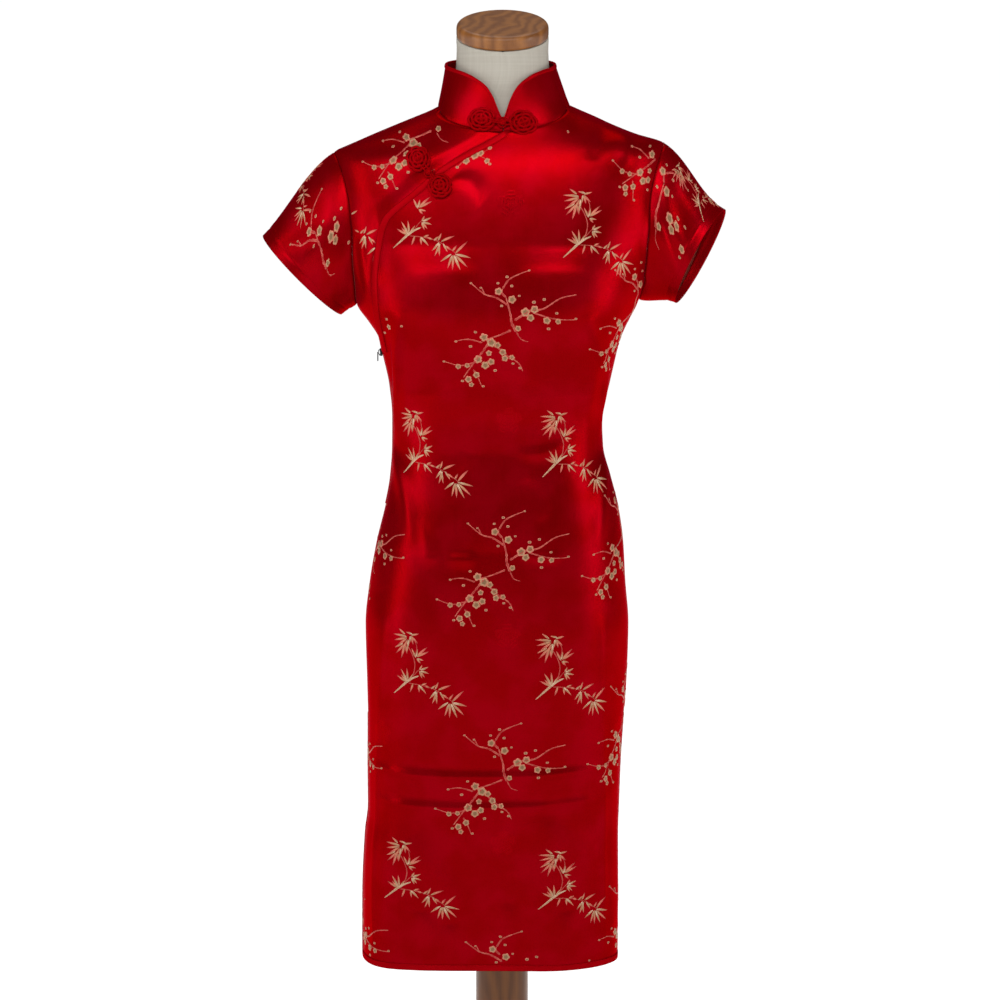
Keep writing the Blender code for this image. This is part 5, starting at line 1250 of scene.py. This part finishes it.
def hemPlace(side, path):
    # Points and normals inwards from the slits' and hem's edge, read on the worn cloth.
    hand, away, high, inX, inZ = path.T

    def place(distance):
        a = away[:, None] + inX[:, None] * distance
        z = cloth["hem"] + high[:, None] + inZ[:, None] * distance
        gap = np.where(hand[:, None] < 0, slitGap(side, left, z), slitGap(side, right, z))
        across = hand[:, None] * (1 - (gap + a) / halfLength(side, z))
        return clothPoint(side, across, z), clothNormal(side, across, z)
    return place


for side, word in ((front, "front"), (back, "back")):
    path = slitAndHem(side)
    boundEdge(f"hem_piping_{word}", hemPlace(side, path), 6.6, 0.95, cloth["wall"],
            len(path),
        replaces=[f"hem_binding_{word}"])


def placketPlace(count):
    # Along the slanted opening; the inward way is square to it in x and height, and flat at the neck.
    share = np.linspace(0.0, 1.0, count)
    z = neckEdge[front] + 0.5 + (cloth["zipTop"] + 1.0 - neckEdge[front]) * share
    x = placketX(z)
    slopeX, slopeZ = np.gradient(x), np.gradient(z)
    long = np.hypot(slopeX, slopeZ)
    inX, inZ = -slopeZ / long, slopeX / long
    inX[0], inZ[0] = 1.0, 0.0

    def place(distance):
        across = acrossAt(front, x[:, None] + inX[:, None] * distance, z[:, None] + inZ[:, None] * distance)
        high = z[:, None] + inZ[:, None] * distance
        return clothPoint(front, across, high), clothNormal(front, across, high)
    return place


boundEdge("placket_piping", placketPlace(150), 6.4, 1.2, cloth["wall"], 150,
    replaces=["placket_binding"])


def collarPlace(distance):
    # Inward from the collar's top edge: share = 1 - distance / height of the collar there.
    angle = collarAngles[:, None]
    tall = collarPoint(angle, 1.0)[..., 2] - collarPoint(angle, 0.0)[..., 2]
    share = 1 - np.asarray(distance)[None, :] / np.maximum(tall, 4.0)
    angle, share = np.broadcast_arrays(angle, share)
    return collarPoint(angle, share), collarNormal(angle, np.clip(share, 0.02, 0.98))


boundEdge("collar_piping", collarPlace, collar["binding"], 0.95, collar["wall"],
    len(collarAngles), puckers=0.05, replaces=["collar_binding"])

print("form and stand")

neckTilt = math.radians(19.5)
capMiddle, capGap = 1484.9, 0.3
clearances = np.array([
    (600, 9, 9), (700, 6, 6), (820, 5, 5), (1000, 5, 5), (1123, 5.5, 5.5), (1290, 5, 4),
    (1330, 4.2, 3), (1352, 3.8, 3), (1366, 3.6, 2.7), (1380, 3.5, 1.9), (1400, 3.4, 1.9), (1408, 3.4, 2.4),
    (1414, 4, 3.6), (1425, 3, 3), (1450, 0, 0), (1520, 0, 0)])


def makeForm():
    # The worn body moved inwards, closed at the hips and at the tilted neck, with a rolled lower edge.
    rows = np.concatenate([[655.0, 655.6, 657.5, 661.0], np.linspace(668, 1408, 150),
            np.linspace(1412, 1464, 30)])
    columns = np.linspace(-1, 1, 73)
    z = np.repeat(rows[:, None], len(columns), axis=1)
    broad, seam = (np.interp(z, clearances[:, 0], clearances[:, part]) for part in (1, 2))
    gap = broad + (seam - broad) * ease(0.8, 0.97, np.abs(columns))[None, :]
    rings = []
    for side, across in ((front, columns), (back, -columns)):
        point, normal = bareBody(side, across[None, :], z)
        rings.append((point - normal * gap[..., None])[:, :-1])
    ring = np.concatenate(rings, axis=1)
    shrink = np.interp(rows, [655.0, 655.6, 657.5, 661.0], [0.955, 0.975, 0.992, 1.0])[:, None]
    ring[..., :2] *= shrink[..., None]
    ring[:4, :, 2] = rows[:4, None]
    tilt = ease(1408.0, 1464.0, rows)[:, None] * (rows[:, None] > 1408.0)
    top = capMiddle - capGap + ring[..., 1] * math.tan(neckTilt)
    ring[..., 2] += (top - ring[..., 2]) * tilt
    count = ring.shape[1]
    seamDistance = np.abs(np.arange(count)[None, :] - np.array([36, 108])[:, None]).min(axis=0)
    outward = gridNormals(ring, 1.0)
    outward *= np.sign((outward * (ring - ring.mean(axis=1, keepdims=True))).sum(axis=(1, 2), keepdims=True))
    ring = ring - outward * (0.35 * np.exp(-(seamDistance / 0.6) ** 2))[None, :, None]
    points, faces = roundStack(ring, ring[[0, -1]].mean(axis=1))
    girth = np.linalg.norm(np.roll(ring, -1, axis=1) - ring, axis=-1).cumsum(axis=1)
    uv = np.concatenate([np.stack([girth, ring[..., 2]], axis=-1).reshape(-1, 2), np.zeros((2, 2))])
    addMesh("linen_form", points, faces, linen, uv=uv, slot="linen", replaces=["form_torso"])


makeForm()


def turnedPiece(name, profile, material, middle=(0.0, 0.0, 0.0), tilt=0.0, around=112, fine=4, **more):
    # Lathe: a smooth profile of radii and heights spun round an axis, closed by a point at each end.
    profile = np.asarray(profile, float)
    run = runLength(profile)
    at = np.unique(np.concatenate([np.linspace(a, b, fine + 1) for a, b in zip(run[:-1], run[1:])]))
    radius, height = curveThrough(run, profile[:, 0], at), curveThrough(run, profile[:, 1], at)
    angle = circle(around)
    rings = np.stack([radius[:, None] * np.cos(angle), radius[:, None] * np.sin(angle),
        np.broadcast_to(height[:, None], (len(at), around))], axis=-1)
    points, faces = roundStack(rings, [[0, 0, height[0]], [0, 0, height[-1]]])
    points = points @ np.array(Matrix.Rotation(tilt, 3, "X")).T + np.array(middle)
    addMesh(name, points, faces, material, **more)


capProfile = [(30, 16), (46, 16), (49, 15.6), (51.3, 14.3), (52.7, 12), (53, 9), (53, 3.4),
        (52.5, 1.4), (51, 0.2), (40, 0)]
turnedPiece("cap_disc", capProfile, capWood, np.array([0.5, 0.0, capMiddle]), neckTilt, slot="cap_wood",
        replaces=["neck_cap"])
columnProfile = [(20, 654.7), (33, 654.6), (34, 654), (36, 640), (33, 628), (29, 616), (29.5, 540),
        (30.5, 430), (31.5, 350), (31, 250), (28, 130), (30, 112), (38, 100),
        (38, 90), (30, 80), (32, 62), (44, 44), (58, 31), (57, 30.3), (40, 30.3)]
turnedPiece("turned_column", columnProfile, standWood, fine=6, slot="stand_wood", replaces=["stand_column"])
baseProfile = [(60, 30), (96, 30), (103, 29.4), (112, 27), (140, 23.6), (170, 20), (178, 18),
        (183.5, 15), (185, 12), (185, 3), (184, 0.8), (182, 0), (90, 0)]
turnedPiece("turned_base", baseProfile, standWood, fine=6, around=160, slot="stand_wood",
        replaces=["stand_base"])

print("frogs")

frog = {
    "knob": 3.6,
    "chestButton": (-69.8, 1317.6),
    "chestLoop": (-94.2, 1346.4),
    "collarAngle": 19.5,
    "collarHeights": (1391.5, 1387.5),
    "bandRise": 1.6,          # the chest button lies on the placket's band
}
cordSatin = makeSatin("satin cord", (0.33, 0.0006, 0.0018), (0.47, 0.001, 0.006), 0.46, 0.3, False)
# petals in a ring, inner and outer reach, height of base and tip, cord, and share of the ring's gap filled
petalRings = [(7, 3.0, 14.6, 1.9, 1.7, 1.85, 1.0), (6, 2.0, 10.8, 3.9, 4.3, 1.75, 1.0),
        (4, 0.6, 6.6, 5.6, 6.6, 1.6, 1.0)]


def frontSpot(middleX, middleZ, lift):
    # A flat patch laid on the front's cloth: x and z from its middle, and height along the normal.
    def place(x, z, height):
        across = acrossAt(front, middleX + x, middleZ + z)
        normal = clothNormal(front, across, middleZ + z)
        return clothPoint(front, across, middleZ + z) + normal * (np.asarray(height) + lift)[..., None]
    return place


def collarSpot(angle, middleZ, lift):
    # The same on the collar, with x as the way round it.
    def place(x, z, height):
        turned = (angle - np.degrees(np.asarray(x, float) / collar["halfDepth"])) % 360
        low, high = collarPoint(turned, 0.0), collarPoint(turned, 1.0)
        share = (middleZ + np.asarray(z, float) - low[..., 2]) / (high[..., 2] - low[..., 2])
        normal = collarNormal(turned, np.full(np.shape(turned), 0.5))
        return collarPoint(turned, share) + normal * (np.asarray(height) + lift)[..., None]
    return place


def domeShape(place, radius, rise, rings=8, around=48):
    # Closed low dome: height = rise sqrt(1 - share^2) over a flat underside.
    share = np.linspace(0.12, 1.0, rings)[:, None]
    angle = circle(around)[None, :]
    x, z = radius * share * np.cos(angle), radius * share * np.sin(angle)
    upper = place(x, z, rise * np.sqrt(np.clip(1 - share ** 2, 0, 1)) + 0 * angle + 0.25)
    lower = place(x, z, 0 * x)
    middle = place(np.zeros(2), np.zeros(2), np.array([rise + 0.25, 0.0]))
    return roundStack(np.concatenate([upper, lower[::-1]]), middle)


def petalShapes(place, seed):
    # Each petal is a teardrop loop of cord: reach grows as (1 - cos 2 pi t) / 2 and side as sin 2 pi t.
    shuffle = np.random.default_rng(seed)
    shapes, none = [], np.zeros(1)
    up = place(none, none, none + 1)[0] - place(none, none, none)[0]
    for count, inner, outer, base, tip, cord, fill in petalRings:
        phase = shuffle.uniform(0, 6)
        for petal in range(count):
            t = np.linspace(0, 1, 22, endpoint=False)
            out = (1 - np.cos(2 * math.pi * t)) / 2
            reach = inner + (outer - inner - cord) * shuffle.uniform(0.9, 1.04) * out
            side = fill * outer * math.sin(math.pi / count) * np.sin(2 * math.pi * t) * (0.45 + 0.75 * out)
            side *= 0.85
            turn = phase + 2 * math.pi * (petal + shuffle.uniform(-0.12, 0.12)) / count
            x = reach * math.cos(turn) - side * math.sin(turn)
            z = reach * math.sin(turn) + side * math.cos(turn)
            height = base + (tip - base) * out + 0.5 * np.sin(4 * math.pi * t
                    + turn) + shuffle.uniform(-0.2, 0.3)
            shapes.append(tube(place(x, z, height), cord, sides=7, closed=True, up=up))
    t = np.linspace(0, 1, 46)
    spiral = 0.5 + 3.0 * t
    return [*shapes, tube(place(spiral * np.cos(t * 13), spiral * np.sin(t * 13), 6.4 - 1.6 * t), 1.0,
            sides=7)]


def ballShapes(middle, normal, radius):
    # Ball knot: a core with three cords crossing round it.
    angle, high = circle(24), np.linspace(0, math.pi, 13)[1:-1, None]
    ball, faces = roundStack(np.stack([np.sin(high) * np.cos(angle), np.sin(high) * np.sin(angle),
        np.cos(high) * np.ones(24)], axis=-1), [[0, 0, 1], [0, 0, -1]])
    shapes = [(ball * radius * 0.86 + middle, faces)]
    turn = np.array(Vector((0, 0, 1)).rotation_difference(Vector(normal)).to_matrix())
    for spin, tip in ((0.3, 0.5), (2.4, 0.75), (4.5, 1.0)):
        ring = np.stack([np.cos(angle), np.sin(angle) * math.cos(tip), np.sin(angle) * math.sin(tip)],
                axis=-1)
        ring = ring @ np.array(Matrix.Rotation(spin, 3, "Z")).T @ turn.T
        shapes.append(tube(middle + ring * radius * 0.84, radius * 0.3, sides=7, closed=True, up=normal))
    return shapes


def cordShape(points, radius):
    # Round cord along a smooth path through the points.
    return tube(smoothPath(points, 0.9), radius, up=(0.2, -1.0, 0.3))


def addFrog(label, buttonPlace, loopPlace, middle, normal, towards):
    # The button half carries the ball knot, and the loop half the cord round it. The cord runs double.
    normal, towards = unit(np.asarray(normal, float)), np.asarray(towards, float)
    towards = unit(towards - normal * (towards @ normal))
    aside = np.cross(normal, towards)
    zero, one = np.zeros(1), np.ones(1)
    ball = middle + normal * (frog["knob"] + 0.8)
    shapes = [domeShape(buttonPlace, 12.2, 1.0), *petalShapes(buttonPlace, 3),
            *ballShapes(ball, normal, frog["knob"])]
    foot = buttonPlace(zero, zero, one * 3.0)[0]
    for hand in (-1, 1):
        bend = middle - towards * (frog["knob"] + 3.2) + normal * 3.4 + aside * hand * 1.0
        top = ball - towards * 1.5 + aside * hand * 0.6
        shapes.append(cordShape([top, bend, foot + aside * hand * 1.1], 1.05))
    points, faces = join(shapes)
    addMesh(f"frog_{label}_button_knot", points, faces, cordSatin, uv=points[:, [0, 2]], slot="trim_satin",
            replaces=[f"frog_{label}_button"])
    foot = loopPlace(zero, zero, one * 2.6)[0]
    t = np.linspace(0.42, 2 * math.pi - 0.42, 12)
    ring = towards * np.cos(t)[:, None] + aside * np.sin(t)[:, None]
    ring = middle + normal * 1.7 + (frog["knob"] + 1.6) * ring
    start = foot + aside * 1.0
    loop = cordShape([start, *ring, foot - aside * 1.0], 1.1)
    points, faces = join([domeShape(loopPlace, 12.2, 1.0), *petalShapes(loopPlace, 8), loop])
    addMesh(f"frog_{label}_loop_knot", points, faces, cordSatin, uv=points[:, [0, 2]], slot="trim_satin",
            replaces=[f"frog_{label}_loop"])


button, loopEnd = frog["chestButton"], frog["chestLoop"]
chestX, chestZ = (button[0] + loopEnd[0]) / 2, (button[1] + loopEnd[1]) / 2
chestMiddle = frontSpot(chestX, chestZ, frog["bandRise"])(np.zeros(1), np.zeros(1), np.zeros(1))[0]
chestNormal = clothNormal(front, acrossAt(front, chestX, chestZ), chestZ)
addFrog("chest", frontSpot(*button, frog["bandRise"]), frontSpot(*loopEnd, 0.1), chestMiddle, chestNormal,
        (loopEnd[0] - button[0], 0.0, loopEnd[1] - button[1]))
frontEnds = np.array([4.0, 356.0])
collarMiddleNormal = unit(collarNormal(frontEnds, 0.5).sum(axis=0))
collarMiddle = collarPoint(frontEnds, 0.42).mean(axis=0) + collarMiddleNormal * 1.4
addFrog("collar", collarSpot(frog["collarAngle"], frog["collarHeights"][0], 0.3),
        collarSpot(360 - frog["collarAngle"], frog["collarHeights"][1], 0.3), collarMiddle,
        collarMiddleNormal, (1.0, 0.0, -0.12))

print("zip")

zipper = {"pitch": 2.4, "tooth": (2.4, 1.3, 1.0), "lip": 3.1}


def stampBlocks(middles, alongs, normals, size):
    # Small spindles: two rings of four corners and two ends, stretched along, aside and up from the cloth.
    aside = np.cross(alongs, normals)
    ends = np.array([[-0.5, 0, 0], [-0.3, -1, 0.1], [-0.3, 0, 1], [-0.3, 1, 0.1], [-0.3, 0, -1],
            [0.3, -1, 0.1], [0.3, 0, 1], [0.3, 1, 0.1], [0.3, 0, -1], [0.5, 0, 0]])
    ends = ends * np.array([size[0], size[1] / 2, size[2] / 2])
    points = (middles[:, None] + ends[None, :, :1] * alongs[:, None] + ends[None, :, 1:2] * aside[:, None]
            + ends[None, :, 2:] * normals[:, None]).reshape(-1, 3)
    around = np.array([1, 2, 3, 4])
    after = np.roll(around, -1)
    quads = np.stack([around, after, after + 4, around + 4], axis=-1)
    fans = np.concatenate([fan(0, around[::-1]), fan(9, around + 4)])
    shift = np.arange(len(middles))[:, None, None] * 10
    return points, orient(points, [(quads[None] + shift).reshape(-1, 4), (fans[None] + shift).reshape(-1, 3)])


def addZip():
    # Two rolled lips of cloth along the left seam, with the teeth's backs showing between them.
    z = np.linspace(cloth["zipBottom"], cloth["zipTop"] - 1.0, 92)
    half = {side: zipper["lip"] / halfLength(side, z) for side in (front, back)}
    shapes = []
    for side in (front, back):
        share = np.array([0.12, 0.3, 0.6, 0.85, 1.0])
        high = np.array([0.35, 0.85, 0.95, 0.6, -0.2])
        across = -1 + half[side][:, None] * share
        point, normal = bareBody(side, across, z[:, None])
        top = point + normal * high[None, :, None]
        low = point - normal * 0.5
        shapes.append(roundStack(np.concatenate([top, low[:, ::-1]], axis=1)))
    points, faces = join(shapes)
    addMesh("zip_lips", points, faces, trimSatin, uv=points[:, 1:], slot="satin", replaces=["zip_tape"])
    z = np.arange(cloth["zipBottom"] + 2.0, cloth["zipTop"] - 6.0, zipper["pitch"])
    point, normal = bareBody(front, np.full(len(z), -1.0), z)
    alongs = np.repeat([[0.0, 1.0, 0.0]], len(z), axis=0)
    points, faces = stampBlocks(point + normal * 0.15, alongs, normal, zipper["tooth"])
    addMesh("zip_teeth", points, faces, darkMetal, slot="dark_metal")


def roundedBlock(middle, size, rounding):
    # A block with all its edges and corners rounded.
    body = bmesh.new()
    bmesh.ops.create_cube(body, size=1.0)
    bmesh.ops.scale(body, vec=Vector(size), verts=body.verts)
    bmesh.ops.bevel(body, geom=body.edges[:] + body.verts[:], offset=rounding, segments=3, profile=0.5,
        affect="EDGES")
    bmesh.ops.translate(body, vec=Vector(middle), verts=body.verts)
    body.verts.index_update()
    points = np.array([vertex.co[:] for vertex in body.verts])
    groups = {}
    for face in body.faces:
        groups.setdefault(len(face.verts), []).append([vertex.index for vertex in face.verts])
    body.free()
    return points, [np.array(group) for group in groups.values()]


def addSlider():
    # Slider body with shoulders and a bridge for the tab's pin; the tab rides on its own body.
    shapes = [roundedBlock((-141.3, 0, 1119.4), (3.0, 4.0, 6.2), 0.6),
            roundedBlock((-141.5, 0, 1123.2), (3.6, 5.0, 3.6), 0.7),
            roundedBlock((-143.6, 0, 1117.6), (1.0, 1.4, 1.6), 0.3)]
    bridge = [(-143.0, 0, 1123.6), (-144.2, 0, 1123.2), (-144.6, 0, 1121.6), (-144.5, 0, 1119.4),
            (-143.0, 0, 1117.2)]
    shapes.append(cordShape(bridge, 0.42))
    points, faces = join(shapes)
    addMesh("slider_body", points, faces, darkMetal, slot="dark_metal", replaces=["zip_slider"])
    # pull tab: a flat drop with a round hole, thickness 1.2, from its pin at the top to 10 mm below
    count = 40
    angle = circle(count)
    narrow = 0.62 + 0.38 * (1 - np.sin(angle)) / 2
    outer = np.stack([1.8 * np.cos(angle) * narrow, -4.5 + 5.4 * np.sin(angle)], axis=-1)
    hole = np.stack([0.75 * np.cos(angle), -7.4 + 1.3 * np.sin(angle)], axis=-1)
    layers = []
    for loop in (outer, hole):
        for x, shrink in ((-0.6, 0.9), (-0.45, 1.0), (0.45, 1.0), (0.6, 0.9)):
            middleZ = loop[:, 1].mean()
            grow = shrink if loop is outer else 2 - shrink
            layers.append(np.stack([np.full(count, -145.4 + x), loop[:, 0] * grow,
                    1120.0 + middleZ + (loop[:, 1] - middleZ) * (1 - (1 - grow) * 0.4)], axis=-1))
    ring = np.stack([layers[k] for k in (0, 1, 2, 3, 7, 6, 5, 4)])
    points = ring.reshape(-1, 3)
    faces = orient(points, [gridFaces(8, count, roundColumns=True, roundRows=True)])
    pin = tube([(-145.4, -1.7, 1120.0), (-145.4, 1.7, 1120.0)], 0.45, sides=12, up=(0, 0, 1))
    points, faces = join([(points, faces), pin])
    addMesh("pull_tab", points, faces, darkMetal, body="zip_pull_tab", slot="dark_metal",
            replaces=["zip_pull"])


addZip()
addSlider()

print("stitches")


def stitchLine(path, normal, pitch=2.9, length=2.1):
    # Stitches spaced evenly by the length of the path.
    run = runLength(path)
    at = np.arange(pitch / 2, run[-1], pitch)
    middle = np.stack([np.interp(at, run, path[:, part]) for part in range(3)], axis=-1)
    up = unit(np.stack([np.interp(at, run, normal[:, part]) for part in range(3)], axis=-1))
    ahead = np.stack([np.interp(at + 0.5, run, path[:, part]) - np.interp(at - 0.5, run, path[:, part])
            for part in range(3)], axis=-1)
    return stampBlocks(middle + up * 0.12, unit(ahead), up, (length, 0.42, 0.36))


def addStitches():
    # Lines of stitches beside the hems and slits, the opening, the sleeve hems and the collar's top.
    lines = []
    for side in (front, back):
        point, normal = hemPlace(side, slitAndHem(side))(np.array([7.3]))
        lines.append(stitchLine(point[:, 0], normal[:, 0]))
    point, normal = placketPlace(150)(np.array([8.0]))
    lines.append(stitchLine(point[:, 0], normal[:, 0]))
    for hand in (left, right):
        outer, normal = sleeveSurface(hand, 1 - np.linspace(hemBand / 70.0, 0.0, 10))
        ring = np.concatenate([outer[1], outer[1][:1]])
        lines.append(stitchLine(ring, np.concatenate([normal[1], normal[1][:1]])))
    point, normal = collarPlace(np.array([collar["binding"] + 0.5]))
    lines.append(stitchLine(point[:, 0], normal[:, 0], 2.4, 1.7))
    points, faces = join(lines)
    addMesh("edge_stitches", points, faces, cordSatin, uv=points[:, [0, 2]], slot="trim_satin")


addStitches()

print("sleeve figures")


def sleeveStamps(hand):
    # u is the height round the sleeve in millimetres and the second number the way along it. The grid is
    # read by bilinear steps, so that figures follow the creases.
    shares = np.linspace(0.0, 1.0, 60)
    grid, normals = sleeveSurface(hand, shares)
    steps = np.linalg.norm(np.diff(grid, axis=0), axis=-1)
    run = np.concatenate([np.zeros((1, ringCount)), steps.cumsum(axis=0)])
    girth = np.linalg.norm(np.roll(grid, -1, axis=1) - grid, axis=-1).sum(axis=1).mean()

    def rowsAndColumns(u, v):
        column = (v / girth * ringCount) % ringCount
        total = run[-1][column.astype(int) % ringCount]
        return np.clip(hand * u / total, 0, 0.999) * (len(shares) - 1), column, hand * u, total

    def surface(u, v, height):
        row, column, _, _ = rowsAndColumns(u, v)
        return gridRead(grid, row, column) + unit(gridRead(normals, row, column)) * height[:, None]

    def inside(u, v):
        _, _, way, total = rowsAndColumns(u, v)
        return (way > 3) & (way < total - 5)
    return surface, inside


for hand, word, places in (
    (left, "left", [("plum", -46, 92, 4, 0.95), ("plum", -48, 262, 176, 0.95),
    ("bamboo", -40, 178, -80, 0.8)]),
    (right, "right", [("plum", 6, 108, -24, 1.0), ("bamboo", 62, 178, 80, 0.8),
    ("plum", 44, 268, 190, 0.95)])):
    stampFigures(f"figures_sleeve_{word}", *sleeveStamps(hand), places)

print("sheets")


def declareSheet(grid, closed=False):
    # Works out the cross product of the diagonals of each cell of the cut's grid, and keeps nothing.
    if closed:
        grid = np.concatenate([grid, grid[:, :1]], axis=1)
    cells = np.cross(grid[1:, 1:] - grid[:-1, :-1], grid[1:, :-1] - grid[:-1, 1:])


declareSheet(frontOuter)
declareSheet(underOuter)
declareSheet(backOuter)
declareSheet(collarOuter)
for hand, word in ((left, "left"), (right, "right")):
    declareSheet(sleeveSurface(hand, sleeveShares)[0],
            closed=True)


print("stage")


def addFloor():
    # Floor that glows, painted light that lights the dress: a white glow behind the object and far round it,
    # and in front and round the base a duller glow and darker colour, a painted shadow pool, where the satin
    # reflects it.
    made = Finish("glowing floor", Roughness=0.9, Specular_IOR_Level=0.1)
    soft = made.noise(made.place(), 3.0, 2.0)
    x, y, _ = made.split(made.place())
    # ring and far fade the painted shadow pool round the object, with darker colour and weaker glow, out to
    # the full white glow.
    ring = ((x * x + y * y).math("SQRT") + soft * 0.4).step(1.5, 4.0)
    far = (y + soft * 0.1).step(0.4, 0.92).math("MAXIMUM", ring)
    made.set(Base_Color=made.mix(far, (0.66, 0.66, 0.66), (0.9, 0.9, 0.9)),
            Emission_Color=made.mix(far, (0.42, 0.42, 0.42), (1.0, 1.0, 1.0)))
    # The floor's glow is painted light: it lights the dress, the skirt most.
    made.put(made.shader.inputs["Emission Strength"], 0.95)
    mesh = bpy.data.meshes.new("floor")
    mesh.from_pydata([(-9, -9, -0.0005), (9, -9, -0.0005), (9, 9, -0.0005), (-9, 9, -0.0005)], [],
            [(0, 1, 2, 3)])
    mesh.materials.append(made.material)
    floor = bpy.data.objects.new("floor", mesh)
    bpy.context.scene.collection.objects.link(floor)


addFloor()

studio = {
    "sky": 0.11,
    # name, place, height of its aim, width and height, power
    "lights": [
        ("left key", (-1.3, -1.7, 2.3), 1.35, (1.0, 0.9), 10.0),
        ("left side", (-2.1, -0.75, 1.4), 1.1, (0.35, 1.5), 8.0),
        ("right side", (2.1, -0.75, 1.45), 1.15, (0.35, 1.5), 9.5),
        ("front fill", (0.3, -1.9, 2.75), 1.3, (1.8, 0.8), 21.5),
        ("top light", (0.0, 0.5, 2.9), 1.4, (1.4, 0.8), 5.0),
    ],
}


def addLight(name, place, aim, size, power):
    # A soft rectangle of light that looks at its aim.
    light = bpy.data.lights.new(name, "AREA")
    light.shape, light.size, light.size_y, light.energy = "RECTANGLE", size[0], size[1], power
    made = bpy.data.objects.new(name, light)
    made.location = place
    made.rotation_euler = (Vector((0, 0, aim)) - Vector(place)).to_track_quat("-Z", "Y").to_euler()
    bpy.context.scene.collection.objects.link(made)


for row in studio["lights"]:
    addLight(*row)

world = bpy.data.worlds.new("plain studio")
bpy.context.scene.world = world
world.use_nodes = True
sky = world.node_tree
background = sky.nodes["Background"]
background.inputs["Color"].default_value = (1, 1, 1, 1)
seen = sky.nodes.new("ShaderNodeLightPath")
strength = sky.nodes.new("ShaderNodeMapRange")
strength.inputs["To Min"].default_value = studio["sky"]
strength.inputs["To Max"].default_value = 1.02
sky.links.new(seen.outputs["Is Camera Ray"], strength.inputs["Value"])
sky.links.new(strength.outputs["Result"], background.inputs["Strength"])

camera = bpy.data.objects.new("camera", bpy.data.cameras.new("camera"))
camera.data.lens, camera.data.sensor_width = 98.83, 36.0
camera.location = (-0.0024, -3.2, 1.45)
camera.rotation_euler = (math.radians(90 - 8.96), 0.0, 0.0)
camera.data.clip_end = 60.0
bpy.context.scene.collection.objects.link(camera)
bpy.context.scene.camera = camera
bpy.context.scene.view_settings.view_transform = "Standard"
